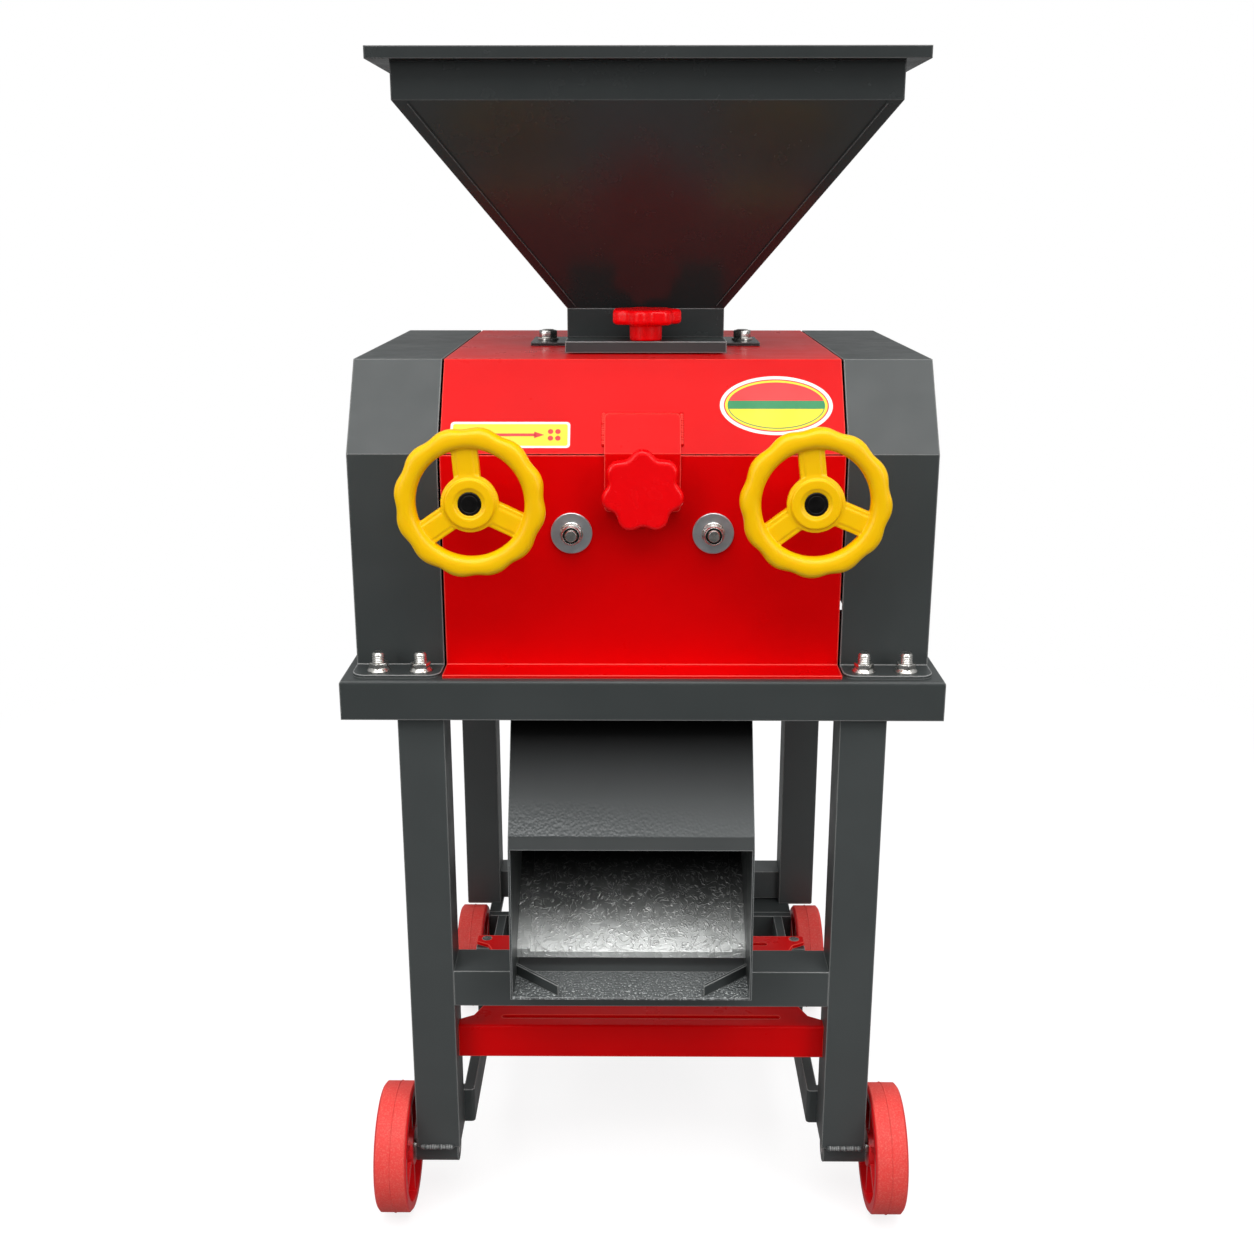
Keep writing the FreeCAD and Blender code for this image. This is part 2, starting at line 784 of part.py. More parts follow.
def make_motor_posts():
    """Posts on the low bars under the plate's rear ears, each with a countersunk bolt."""
    posts = []
    bolts = []
    rear = front_leg[0] + s.MotorPlateSetback + s.MotorPlateDepth
    under = motor_plate_top - s.MotorPlateThickness
    for side, centre in zip((-1, 1), post_bolt_places()):
        name = SIDE_NAMES[side]
        x = sides(side, leg_inner - s.PostSize, leg_inner)
        y = (rear - s.PostSize, rear)
        post = block("Post" + name, x, y, (low_top, under))
        low = under - s.PostBoltLength
        hole = rod("PostHole" + name, "Z", centre, s.PostBoltRadius, low, under)
        posts.append(cut("MotorPost" + name, post, [hole]))
        shank = rod("PostShank" + name, "Z", centre, s.PostBoltRadius, low, under)
        bolts.append(fused("PostBolt" + name, [shank, countersink("PostHead" + name, centre)]))
    keep(group("motor_plate_posts", posts), "motor_plate_posts")
    keep(group("motor_plate_bolts", bolts), "motor_plate_bolts")


# Discharge chute

chute_left = -s.ChuteOffset - s.ChuteWidth / 2
chute_right = -s.ChuteOffset + s.ChuteWidth / 2
apron_front = front_leg[0] - s.ApronReach
mouth_low = front_stretcher_top
mouth_top = mouth_low + s.MouthHeight
lip_foot = front_leg[0] - s.MouthTopReach
lip_head = lip_foot + s.ChuteLipSetback
lip_top = mouth_top + s.ChuteLipRise
tray_front = front_leg[0] + s.TrayLipSetback
tray_low = mouth_low + s.TrayLipHeight
tray_run = s.TrayLength * cosine(s.TrayAngle)
tray_rise = s.TrayLength * sine(s.TrayAngle)
tray_rear = tray_front + tray_run
tray_high = tray_low + tray_rise
tray_steep = tray_rise / tray_run


def make_chute_body():
    """Side walls, the sloping front plate and the flared lip, welded into one shell."""
    body = new_body("chute_body")
    sheet_z = s.ChuteSheet / cosine(s.TrayAngle)
    foot = front_leg[0] + s.LegSize - s.ChuteSheet
    under = sheet_z * 3
    wall = [
        (apron_front, mouth_low - s.ChuteSheet),
        (lip_foot, mouth_top),
        (lip_head, lip_top),
        (lip_head + s.ChuteRun, plate_under),
        (tray_rear + s.ChuteSheet, plate_under),
        (tray_rear + s.ChuteSheet, tray_high - under),
        (foot, tray_low + (foot - tray_front) * tray_steep - under),
        (foot, mouth_low),
        (front_leg[0], mouth_low),
        (front_leg[0], mouth_low - s.ChuteSheet),
    ]
    pad(body, "ChuteBlank", "X", chute_left, chute_right, [wall])
    steep = (plate_under - lip_top) / s.ChuteRun
    drop = s.ChuteSheet * root(s.ChuteRun * s.ChuteRun + (plate_under - lip_top) * (plate_under - lip_top))
    drop = drop / s.ChuteRun
    low = -s.FrontStretcherDrop
    inside = [
        (apron_front - s.ApronReach, low),
        (apron_front - s.ApronReach, mouth_top),
        (lip_foot + s.ChuteSheet, mouth_top),
        (lip_head + s.ChuteSheet, lip_top - drop * 0.5),
        (lip_head + s.ChuteRun + (drop - s.ChuteSheet) / steep, plate_under - s.ChuteSheet),
        (lip_head + s.ChuteRun + (drop - s.ChuteSheet) / steep, plate_under),
        (tray_rear, plate_under),
        (tray_rear, low),
    ]
    pocket(body, "ChuteInside", "X", chute_left + s.ChuteSheet, chute_right - s.ChuteSheet, [inside])
    keep(body, "chute_body")


def make_chute_floor():
    """The apron in front of the stretcher, with two deflectors on it."""
    x = (chute_left + s.ChuteSheet, chute_right - s.ChuteSheet)
    apron = block("chute_floor", x, (apron_front, front_leg[0]), (mouth_low - s.ChuteSheet, mouth_low))
    keep(apron, "chute_floor")
    strips = []
    for side in (-1, 1):
        body = new_body("deflector_" + SIDE_NAMES[side])
        wall = x[0] if side < 0 else x[1]
        front = apron_front + s.ChuteSheet
        outline = [
            (wall, front_leg[0] - s.ChuteSheet),
            (wall, front_leg[0] - s.ChuteSheet * 3),
            (wall - side * s.DeflectorReach, front),
            (wall - side * s.DeflectorReach, front + s.ChuteSheet * 2),
        ]
        pad(body, "Deflector" + SIDE_NAMES[side], "Z", mouth_low, mouth_low + s.DeflectorHeight, [outline])
        strips.append(body)
    keep(group("chute_deflectors", strips), "chute_deflectors")


def make_chute_tray():
    """The galvanised tray: sloping plate, raised side rails and a folded front lip."""
    body = new_body("chute_tray")
    thick = s.TraySheet / cosine(s.TrayAngle)
    x = (chute_left + s.ChuteSheet, chute_right - s.ChuteSheet)
    plate = [
        (tray_front, tray_low - s.TrayLipSetback),
        (tray_front, tray_low),
        (tray_rear, tray_high),
        (tray_rear, tray_high - thick),
        (tray_front + s.TraySheet, tray_low - thick + s.TraySheet * tray_steep),
        (tray_front + s.TraySheet, tray_low - s.TrayLipSetback),
    ]
    pad(body, "TrayPlate", "X", x[0], x[1], [plate])
    rail = [
        (tray_front, tray_low),
        (tray_front, tray_low + thick * 1.5),
        (tray_rear, tray_high + thick * 1.5),
        (tray_rear, tray_high),
    ]
    pad(body, "TrayRailLeft", "X", x[0], x[0] + s.TrayRail, [rail])
    pad(body, "TrayRailRight", "X", x[1] - s.TrayRail, x[1], [rail])
    keep(body, "chute_tray")


def make_funnel():
    """A tapered throat from under the rollers down to the table opening."""
    body = new_body("discharge_funnel")
    outer_low = throat_outline(measure(0))
    outer_high = funnel_top(measure(0))
    inner_low = throat_outline(s.ChuteSheet)
    inner_high = funnel_top(s.ChuteSheet)
    top = table_top + s.FunnelHeight
    for name, low, high, kind in (("FunnelOuter", outer_low, outer_high, "PartDesign::AdditiveLoft"),
                                  ("FunnelInner", inner_low, inner_high, "PartDesign::SubtractiveLoft")):
        first = draw(body, name + "Low", "Z", table_top, [low])
        second = draw(body, name + "High", "Z", top, [high])
        loft = body.newObject(kind, name)
        loft.Profile = first
        loft.Sections = [second]
        loft.Ruled = True
    keep(body, "discharge_funnel")


def funnel_top(inset):
    """The funnel's upper edge, between the roller frames and under both rollers."""
    half = frame_inner - 1 - inset
    y = (front_roller - s.RollerRadius + inset, rear_roller + s.RollerRadius - inset)
    return rectangle((-half, half), y)


# Housing

def make_panel(front):
    """A red panel with a foot flange, folded side returns and its screw holes."""
    label = "front_panel" if front else "rear_panel"
    facing = 1 if front else -1
    face = housing_front if front else housing_rear
    body = new_body(label)
    half = s.HousingHalf
    height = bend_height - s.PanelTopGap

    def across(near, far):
        ends = (face + facing * near, face + facing * far)
        return ends if front else (ends[1], ends[0])

    wall = rectangle((-half, half), across(measure(0), s.PanelSheet))
    pad(body, label + "_wall", "Z", table_top, height, [wall])
    foot = rectangle((-half, half), across(-s.PanelFlange, s.PanelSheet))
    pad(body, label + "_foot", "Z", table_top, table_top + s.PanelSheet, [foot])
    for side in (-1, 1):
        x = sides(side, half - s.PanelSheet, half)
        fold = rectangle(x, across(measure(0), s.PanelReturn))
        pad(body, label + "_return_" + SIDE_NAMES[side], "Z", table_top, height - s.PanelSheet * 3, [fold])
    holes = scraper_holes()
    if front:
        for side in (-1, 1):
            holes.append((side * s.FrameCentre, roller_height, s.ScrewRadius + s.ScrewHoleGap))
    y = across(measure(0), s.PanelSheet)
    pocket(body, label + "_holes", "Y", y[0], y[1], [], holes)
    keep(body, label)


def scraper_holes():
    holes = []
    for side in (-1, 1):
        holes.append((side * s.ScraperBoltSpacing / 2, table_top + s.ScraperBoltHeight, s.ScraperBoltRadius))
    return holes


def make_hood():
    """One folded sheet: front slope, flat top with the feed opening, rear slope."""
    body = new_body("hood")
    outer = housing_profile(measure(0))
    inner = housing_profile(s.PanelSheet)
    wide = s.PanelSheet * chamfer_length / chamfer_rise
    outline = [
        (housing_front, bend_height),
        outer[2],
        outer[3],
        (housing_rear, bend_height),
        (housing_rear - wide, bend_height),
        inner[3],
        inner[2],
        (housing_front + wide, bend_height),
    ]
    pad(body, "HoodSheet", "X", -s.HousingHalf, s.HousingHalf, [outline])
    x, y = neck_span(s.HopperSheet)
    pocket(body, "HoodOpening", "Z", housing_top - s.PanelSheet, housing_top, [rectangle(x, y)])
    holes = [(place, nip, s.StudRadius) for place in ear_bolts()]
    pocket(body, "HoodBoltHoles", "Z", housing_top - s.PanelSheet, housing_top, [], holes)
    keep(body, "hood")


def make_strap():
    """The latch strap: welded to the hood's slope, bent down in front of the panel, forked below."""
    body = new_body("hood_strap")
    half = s.StrapWidth / 2
    thick = s.StrapThickness
    face = housing_front
    wide = thick * chamfer_length / chamfer_rise
    lift = thick * (chamfer_length - chamfer_rise) / s.ChamferRun
    climb = s.StrapClimb
    outline = [
        (face, bend_height),
        (face + s.ChamferRun * climb, bend_height + chamfer_rise * climb),
        (face + s.ChamferRun * climb - wide, bend_height + chamfer_rise * climb),
        (face - thick, bend_height + lift),
        (face - thick, bend_height - s.StrapDrop),
        (face, bend_height - s.StrapDrop),
    ]
    outline = [(u - s.HoodGap, v) if step in (0, 5) else (u, v) for step, (u, v) in enumerate(outline)]
    pad(body, "StrapSheet", "X", -half, half, [outline])
    slot_top = table_top + s.StudHeight + s.StudRadius + 1
    slot = rectangle((-s.StudRadius - 1, s.StudRadius + 1), (bend_height - s.StrapDrop, slot_top))
    pocket(body, "StrapFork", "Y", face - thick, face, [slot])
    rounded(body, "StrapCorners", s.StrapThickness,
            lambda edge: runs_along(edge, "Y") and abs(abs(edge.CenterOfMass.x) - half.value) < 0.01)
    keep(body, "hood_strap")


def make_hinges():
    """Two butt hinges across the rear bend: fixed leaf and pin, and a moving leaf."""
    pin = s.StudRadius * 0.8
    barrel = pin * 2
    line = (housing_rear + barrel + s.HoodGap, bend_height)
    fixed = []
    moving = []
    for side in (-1, 1):
        name = SIDE_NAMES[side]
        middle = side * s.HousingHalf * 0.65
        knuckle = s.PanelReturn
        x = (middle - knuckle / 2, middle + knuckle / 2)
        leaf = block("FixedLeaf" + name, x, (housing_rear, housing_rear + s.PanelSheet),
                     (bend_height - s.PanelReturn * 2, bend_height - s.HoodGap))
        tube = rod("FixedKnuckle" + name, "X", line, barrel, x[0], x[1])
        shaft = rod("HingePin" + name, "X", line, pin, x[0] - knuckle, x[1] + knuckle)
        fixed.append(fused("HingeFixed" + name, [leaf, tube, shaft]))
        for end in (-1, 1):
            start = middle + end * (knuckle / 2 + s.HoodGap)
            x_end = sides(end, start * end, start * end + knuckle - s.HoodGap)
            body = new_body("HingeMoving%s%d" % (name, end))
            moving_leaf(body, x_end, line, barrel, pin + s.RunningGap)
            moving.append(body)
    keep(group("hood_hinge_fixed", fixed), "hood_hinge_fixed")
    keep(group("hood_hinge_moving", moving), "hood_hinge_moving")


def moving_leaf(body, x, line, barrel, bore):
    """A knuckle with a leaf that lies on the hood's rear slope."""
    climb = 0.3
    thick = s.PanelSheet
    wide = thick * chamfer_length / chamfer_rise
    leaf = [
        (housing_rear + s.HoodGap, bend_height + s.HoodGap),
        (housing_rear - s.ChamferRun * climb, bend_height + chamfer_rise * climb),
        (housing_rear - s.ChamferRun * climb + wide, bend_height + chamfer_rise * climb),
        (housing_rear + barrel + s.HoodGap, bend_height + barrel * 0.8),
        (housing_rear + barrel + s.HoodGap, bend_height + s.HoodGap),
    ]
    pad(body, body.Name + "Leaf", "X", x[0], x[1], [leaf])
    pad(body, body.Name + "Barrel", "X", x[0], x[1], [], [line + (barrel,)])
    pocket(body, body.Name + "Bore", "X", x[0], x[1], [], [line + (bore,)])


def make_cover(side):
    """A grey side cover: one folded and welded hollow with rounded foot flanges."""
    label = "side_cover_" + SIDE_NAMES[side]
    body = new_body(label)
    near = s.HousingHalf + s.CoverGap
    x = sides(side, near, s.CoverOuter)
    pad(body, label + "_blank", "X", x[0], x[1], [housing_profile(measure(0))])
    feet = []
    for y in ((housing_front - s.PanelFlange, housing_front + s.CoverSheet),
              (housing_rear - s.CoverSheet, housing_rear + s.PanelFlange)):
        feet.append(rectangle(x, y))
    pad(body, label + "_feet", "Z", table_top, table_top + s.PanelSheet, feet)
    hollow = sides(side, near, s.CoverOuter - s.CoverSheet)
    pocket(body, label + "_hollow", "X", hollow[0], hollow[1], [housing_profile(s.CoverSheet)])
    holes = [(place[0], place[1], s.CoverBoltRadius) for place in cover_bolts(side)]
    pocket(body, label + "_holes", "Z", table_top, table_top + s.PanelSheet, [], holes)
    ends = (housing_front.value - s.PanelFlange.value, housing_rear.value + s.PanelFlange.value)
    rounded(body, label + "_corners", s.CoverCorner,
            lambda edge: runs_along(edge, "Z") and min(abs(edge.CenterOfMass.y - end) for end in ends) < 0.01)
    keep(body, label)


def cover_bolts(side):
    """The bolt places of one side cover, in plan."""
    places = []
    setback = s.PanelFlange / 2 + s.CoverBoltSetback
    for y in (housing_front - setback, housing_rear + setback):
        for step in (0, 1):
            places.append((side * (s.CoverBoltInner + s.CoverBoltSpacing * step), y))
    return places


def make_cover_bolts():
    """Studs through the cover flanges and the table, each with a flange nut."""
    bolts = []
    radius = s.CoverBoltRadius
    seat = table_top + s.PanelSheet
    for side in (-1, 1):
        for step, centre in enumerate(cover_bolts(side)):
            name = "%s%d" % (SIDE_NAMES[side], step)
            stud = rod("CoverStud" + name, "Z", centre, radius, table_top, seat + radius * 3.4)
            flange = rod("CoverNutFlange" + name, "Z", centre, radius * 1.95, seat, seat + radius * 0.4)
            nut = hexagon("CoverNut" + name, "Z", centre, radius * 3, seat, seat + radius * 1.5)
            bolts.append(fused("CoverBolt" + name, [stud, flange, nut]))
    keep(group("cover_bolts", bolts), "cover_bolts")


# Roller frames, rollers and drive

def make_frame(side):
    """A thick side frame: window for the sliding block, bore for the fixed bearing, screw hole."""
    label = "mill_frame_" + SIDE_NAMES[side]
    body = new_body(label)
    x = sides(side, frame_inner, frame_outer)
    top = table_top + s.FrameTop
    slope = s.ChamferRun * 0.6
    outline = [
        (frame_front, table_top),
        (frame_front, top - slope),
        (frame_front + slope, top),
        (frame_rear - slope, top),
        (frame_rear, top - slope),
        (frame_rear, table_top),
    ]
    pad(body, label + "_plate", "X", x[0], x[1], [outline])
    gap = s.BlockGap
    window = rectangle((front_roller - s.BlockDepth / 2 - s.GapTravel - 1, front_roller + s.BlockDepth / 2 + gap),
                       (roller_height - s.BlockHeight / 2 - gap, roller_height + s.BlockHeight / 2 + gap))
    pocket(body, label + "_window", "X", x[0], x[1], [window])
    pocket(body, label + "_bore", "X", x[0], x[1], [], [(rear_roller, roller_height, s.BearingRadius)])
    pocket(body, label + "_screw", "Y", frame_front, front_roller - s.BlockDepth / 2, [],
           [(side * s.FrameCentre, roller_height, s.ScrewRadius + s.ScrewGap)])
    holes = [place + (s.FrameBoltRadius,) for place in frame_bolt_places() if place[0].value * side > 0]
    pocket(body, label + "_bolt_holes", "Z", table_top, table_top + s.FrameBoltDepth, [], holes)
    keep(body, label)


def make_frame_bolts():
    bolts = []
    radius = s.FrameBoltRadius
    for step, centre in enumerate(frame_bolt_places()):
        shank = rod("FrameShank%d" % step, "Z", centre, radius, plate_under, table_top + s.FrameBoltDepth)
        head = hexagon("FrameHead%d" % step, "Z", centre, radius * 3, plate_under - radius * 1.3, plate_under)
        bolts.append(fused("FrameBolt%d" % step, [shank, head]))
    keep(group("frame_bolts", bolts), "frame_bolts")


def make_rear_bearings():
    """Flanged bearing housings seated in the frame bores."""
    housings = []
    for side in (-1, 1):
        name = SIDE_NAMES[side]
        centre = (rear_roller, roller_height)
        x = sides(side, frame_inner, frame_outer)
        spigot = rod("Spigot" + name, "X", centre, s.BearingRadius, x[0], x[1])
        x_flange = sides(side, frame_outer, frame_outer + s.BearingFlange)
        plate = rod("BearingPlate" + name, "X", centre, s.BearingRadius * 1.3, x_flange[0], x_flange[1])
        x_bore = sides(side, frame_inner, frame_outer + s.BearingFlange)
        bore = rod("BearingBore" + name, "X", centre, s.ShaftRadius + s.RunningGap, x_bore[0], x_bore[1])
        housings.append(cut("RearBearing" + name, fused("BearingBlank" + name, [spigot, plate]), [bore]))
    keep(group("rear_bearings", housings), "rear_bearings")


def make_front_blocks():
    """Sliding bearing blocks: each fills its window and has an outer guide flange."""
    blocks = []
    for side in (-1, 1):
        name = SIDE_NAMES[side]
        body = new_body("FrontBlock" + name)
        y = (front_roller - s.BlockDepth / 2, front_roller + s.BlockDepth / 2)
        z = (roller_height - s.BlockHeight / 2, roller_height + s.BlockHeight / 2)
        x = sides(side, frame_inner, frame_outer + s.BlockGap)
        pad(body, "BlockBody" + name, "X", x[0], x[1], [rectangle(y, z)])
        wide = s.BlockFlange
        flange = rectangle((y[0] + 1, y[1]), (z[0] - wide, z[1] + wide))
        x = sides(side, frame_outer + s.BlockGap, frame_outer + s.BlockGap + s.BlockFlange)
        pad(body, "BlockFlange" + name, "X", x[0], x[1], [flange])
        x = sides(side, frame_inner, frame_outer + s.BlockGap + s.BlockFlange)
        pocket(body, "BlockBore" + name, "X", x[0], x[1], [],
               [(front_roller, roller_height, s.ShaftRadius + s.RunningGap)])
        seat = s.BlockDepth / 7
        pocket(body, "ScrewSeat" + name, "Y", y[0], y[0] + seat, [],
               [(side * s.FrameCentre, roller_height, s.ScrewRadius + s.ScrewGap)])
        blocks.append(body)
    keep(group("front_bearing_blocks", blocks), "front_bearing_blocks")


FLUTES = 40


def fluted_drum(radius, depth, half_length):
    """A drum with shallow V flutes along it."""
    points = []
    for step in range(FLUTES * 2):
        angle = math.pi * step / FLUTES
        reach = radius if step % 2 == 0 else radius - depth
        points.append(Vector(-half_length, reach * math.cos(angle), reach * math.sin(angle)))
    outline = Part.makePolygon(points + points[:1])
    return Part.Face(outline).extrude(Vector(2 * half_length, 0, 0))


def shaft(start, end, radius):
    return Part.makeCylinder(radius, end - start, Vector(start, 0, 0), Vector(1, 0, 0))


def place_shape(label, shape, place):
    """A sub-part set from a shape built about its own axis, then moved to its place."""
    item = doc.addObject("Part::Feature", label)
    item.Shape = shape
    item.Placement = Placement(Vector(0, place.value, roller_height.value), Rotation())
    keep(item, label)


gear_start = frame_outer + s.BearingFlange + s.BlockFlange
gear_end = gear_start + s.GearWidth
pulley_start = gear_start
pulley_end = pulley_start + s.PulleyWidth


def make_rollers():
    drum = fluted_drum(s.RollerRadius.value, s.FluteDepth.value, s.RollerLength.value / 2)
    left = -gear_end.value
    rear_end = pulley_end.value
    front_end = gear_start.value
    for label, place, right in (("roller_rear", rear_roller, rear_end), ("roller_front", front_roller, front_end)):
        solid = drum.fuse(shaft(left, right, s.ShaftRadius.value)).removeSplitter()
        place_shape(label, solid, place)


def gear_shape(phase):
    """A spur gear whose teeth have straight flanks, relieved for backlash."""
    teeth = gear_teeth()
    module = s.GearModule.value
    pitch = teeth * module / 2
    stations = ((pitch - 1.2 * module, 0.36), (pitch, 0.25), (pitch + module, 0.13))
    relief = s.GearBacklash.value / 2 / pitch
    points = []
    for tooth in range(teeth):
        centre = 2 * math.pi * (tooth + phase) / teeth
        flank = []
        for radius, share in stations:
            flank.append((radius, 2 * math.pi / teeth * share - relief))
        for radius, half in flank:
            points.append((radius, centre - half))
        for radius, half in reversed(flank):
            points.append((radius, centre + half))
    start = -gear_end.value
    corners = [Vector(start, radius * math.cos(angle), radius * math.sin(angle)) for radius, angle in points]
    disc = Part.Face(Part.makePolygon(corners + corners[:1])).extrude(Vector(s.GearWidth.value, 0, 0))
    return disc.cut(shaft(start, start + s.GearWidth.value, s.ShaftRadius.value))


def gear_teeth():
    return round(2 * s.RollerRadius.value / s.GearModule.value)


def make_gears():
    """Equal gears on the left shaft ends, a tooth of one in a gap of the other at the nip."""
    place_shape("gear_rear", gear_shape(gear_teeth() % 2 / 2), rear_roller)
    place_shape("gear_front", gear_shape(0.5), front_roller)


def make_pulley():
    """A two-groove V-belt pulley on the right end of the rear roller's shaft."""
    body = new_body("drive_pulley")
    radius = s.PulleyRadius
    width = s.PulleyWidth
    groove = radius * 0.14
    land = width / 10
    profile = [(pulley_start, s.ShaftRadius), (pulley_start, radius)]
    for step in (0, 1):
        start = pulley_start + land + step * (width - land) / 2
        opening = (width - land) / 2 - land
        profile += [
            (start, radius),
            (start + opening * 0.25, radius - groove),
            (start + opening * 0.75, radius - groove),
            (start + opening, radius),
        ]
    profile += [(pulley_end, radius), (pulley_end, s.ShaftRadius)]
    revolved(body, "PulleyTurned", "H_Axis", profile)
    bind(body, "Placement.Base.y", rear_roller)
    bind(body, "Placement.Base.z", roller_height)
    keep(body, "drive_pulley")


# Roller gap adjusters

def make_adjuster(side):
    """A handwheel on a screw that draws one front bearing block."""
    name = SIDE_NAMES[side]
    centre = (side * s.FrameCentre, roller_height)
    face = -s.WheelFace
    seat = front_roller - s.BlockDepth / 2 + s.BlockDepth / 7 - s.ScrewGap
    stem = rod("ScrewStem" + name, "Y", centre, s.ScrewRadius, face, seat)
    button = rod("ScrewEnd" + name, "Y", centre, s.ScrewCapRadius, face - s.HubProud + s.HubRecess, face)
    keep(fused("adjusting_screw_" + name, [stem, button]), "adjusting_screw_" + name)
    make_handwheel("handwheel_" + name, centre, face, 93 if side < 0 else 88)


def make_handwheel(label, centre, face, top_angle):
    """A scalloped moulded rim, three spokes and a stepped hub."""
    body = new_body(label)
    radius = s.HandwheelRadius
    rim = s.HandwheelRim
    mid = radius - rim
    bevel = rim * 0.55
    ring = [
        (radius, bevel - rim),
        (radius, rim - bevel),
        (radius - bevel, rim),
        (mid - rim + bevel, rim),
        (mid - rim, rim - bevel),
        (mid - rim, bevel - rim),
        (mid - rim + bevel, -rim),
        (radius - bevel, -rim),
    ]
    turned = draw(body, label + "_ring", "X", 0, [[(v, u) for u, v in ring]])
    spin = body.newObject("PartDesign::Revolution", label + "_rim")
    spin.Profile = turned
    spin.ReferenceAxis = (turned, ["H_Axis"])
    spin.Angle = 360
    reach = radius + s.ScallopRadius - s.ScallopDepth
    scallops = ring_of_circles(measure(0), measure(0), reach, s.ScallopRadius, 12, top_angle + 15)
    pocket(body, label + "_scallops", "Y", -rim, rim, [], scallops)
    spokes = [spoke(measure(0), measure(0), top_angle + turn, s.HandwheelHub * 0.6, mid, s.HandwheelSpoke)
              for turn in (0, 118, 242)]
    pad(body, label + "_spokes", "Y", -rim * 0.35, rim * 0.75, spokes)
    pad(body, label + "_hub", "Y", -s.HubProud, s.HandwheelDepth, [], [(0, 0, s.HandwheelHub)])
    pocket(body, label + "_bore", "Y", 0, s.HandwheelDepth, [], [(0, 0, s.ScrewRadius)])
    pocket(body, label + "_recess", "Y", -s.HubProud, 0, [], [(0, 0, s.ScrewCapRadius)])
    bind(body, "Placement.Base.x", centre[0])
    bind(body, "Placement.Base.y", face)
    bind(body, "Placement.Base.z", centre[1])
    keep(body, label)


def make_latch():
    """The stud on the front panel and the star knob that clamps the strap."""
    centre = (measure(0), table_top + s.StudHeight)
    stud = rod("latch_stud", "Y", centre, s.StudRadius, housing_front - s.StudReach, housing_front)
    keep(stud, "latch_stud")
    body = new_body("latch_knob")
    strap_face = housing_front - s.StrapThickness - s.KnobGap
    head = strap_face - s.KnobBoss
    star(body, "latch_knob", "Y", centre, head - s.KnobThickness, head, s.LatchKnobRadius)
    pad(body, "KnobNeck", "Y", head, strap_face, [], [centre + (s.KnobStem,)])
    pocket(body, "KnobBore", "Y", head - s.KnobThickness * 0.7, strap_face, [],
           [centre + (s.StudRadius + s.RunningGap,)])
    keep(body, "latch_knob")


def star(body, label, axis, centre, low, high, radius):
    """A seven-lobed knob head with rounded rims."""
    pad(body, label + "_disc", axis, low, high, [], [centre + (radius,)])
    reach = radius + s.KnobNotch * 0.55
    notches = ring_of_circles(centre[0], centre[1], reach, s.KnobNotch, KNOB_LOBES, FIRST_NOTCH)
    pocket(body, label + "_notches", axis, low, high, [], notches)
    size = {"Z": lambda edge: edge.BoundBox.ZLength, "Y": lambda edge: edge.BoundBox.YLength}[axis]
    rounded(body, label + "_rims", s.KnobThickness * 0.14, lambda edge: size(edge) < 0.01)


# Scrapers

def make_scraper(front):
    """An angle bolted inside the panel whose blade runs under a roller."""
    label = "scraper_front" if front else "scraper_rear"
    facing = 1 if front else -1
    roller = front_roller if front else rear_roller
    face = housing_front + s.PanelSheet if front else housing_rear - s.PanelSheet
    body = new_body(label)
    thick = s.ScraperSheet
    blade = roller_height - s.RollerRadius - s.ScraperClearance
    drop = s.RollerRadius * 0.12
    outline = [
        (face, table_top + s.ScraperBoltHeight + s.FenderRadius),
        (face + facing * thick, table_top + s.ScraperBoltHeight + s.FenderRadius),
        (face + facing * thick, blade - drop),
        (roller, blade),
        (roller, blade - thick * 0.5),
        (face, blade - drop - thick),
    ]
    pad(body, label + "_angle", "X", -s.ScraperWidth / 2, s.ScraperWidth / 2, [outline])
    y = (face, face + thick) if front else (face - thick, face)
    pocket(body, label + "_holes", "Y", y[0], y[1], [], scraper_holes())
    keep(body, label)


def make_scraper_bolts():
    """Bolts through panel and scraper, with nuts outside over wide washers."""
    bolts = []
    washers = []
    height = table_top + s.ScraperBoltHeight
    radius = s.ScraperBoltRadius
    for side in (-1, 1):
        for facing, face in ((1, housing_front), (-1, housing_rear)):
            centre = (side * s.ScraperBoltSpacing / 2, height)
            name = "%s%d" % (SIDE_NAMES[side], facing)
            washer = s.PanelSheet * 0.8

            def out(near, far):
                ends = (face - facing * near, face - facing * far)
                return ends if ends[0].value < ends[1].value else (ends[1], ends[0])

            ring = out(measure(0), washer)
            disc = rod("Fender" + name, "Y", centre, s.FenderRadius, ring[0], ring[1])
            hole = rod("FenderBore" + name, "Y", centre, radius, ring[0], ring[1])
            washers.append(cut("FenderWasher" + name, disc, [hole]))
            inside = s.PanelSheet + s.ScraperSheet
            span = out(-inside, washer + radius * 2.6)
            shank = rod("ScraperShank" + name, "Y", centre, radius, span[0], span[1])
            span = out(washer, washer + radius * 1.7)
            nut = hexagon("ScraperNut" + name, "Y", centre, radius * 3.1, span[0], span[1])
            span = out(-inside - radius, -inside)
            head = hexagon("ScraperHead" + name, "Y", centre, radius * 3.1, span[0], span[1])
            bolts.append(fused("ScraperBolt" + name, [shank, nut, head]))
    keep(group("scraper_bolts", bolts), "scraper_bolts")
    keep(group("fender_washers", washers), "fender_washers")


# Hopper and feed gate

def neck_span(inset):
    """The neck's plan, drawn in by a sheet thickness."""
    x = (s.HopperOffset - s.NeckWidth / 2 + inset, s.HopperOffset + s.NeckWidth / 2 - inset)
    y = (nip - s.NeckDepth / 2 + inset, nip + s.NeckDepth / 2 - inset)
    return x, y


def collar_span(inset):
    half = s.CollarWidth / 2 - inset
    return (s.HopperOffset - half, s.HopperOffset + half), (nip - half, nip + half)


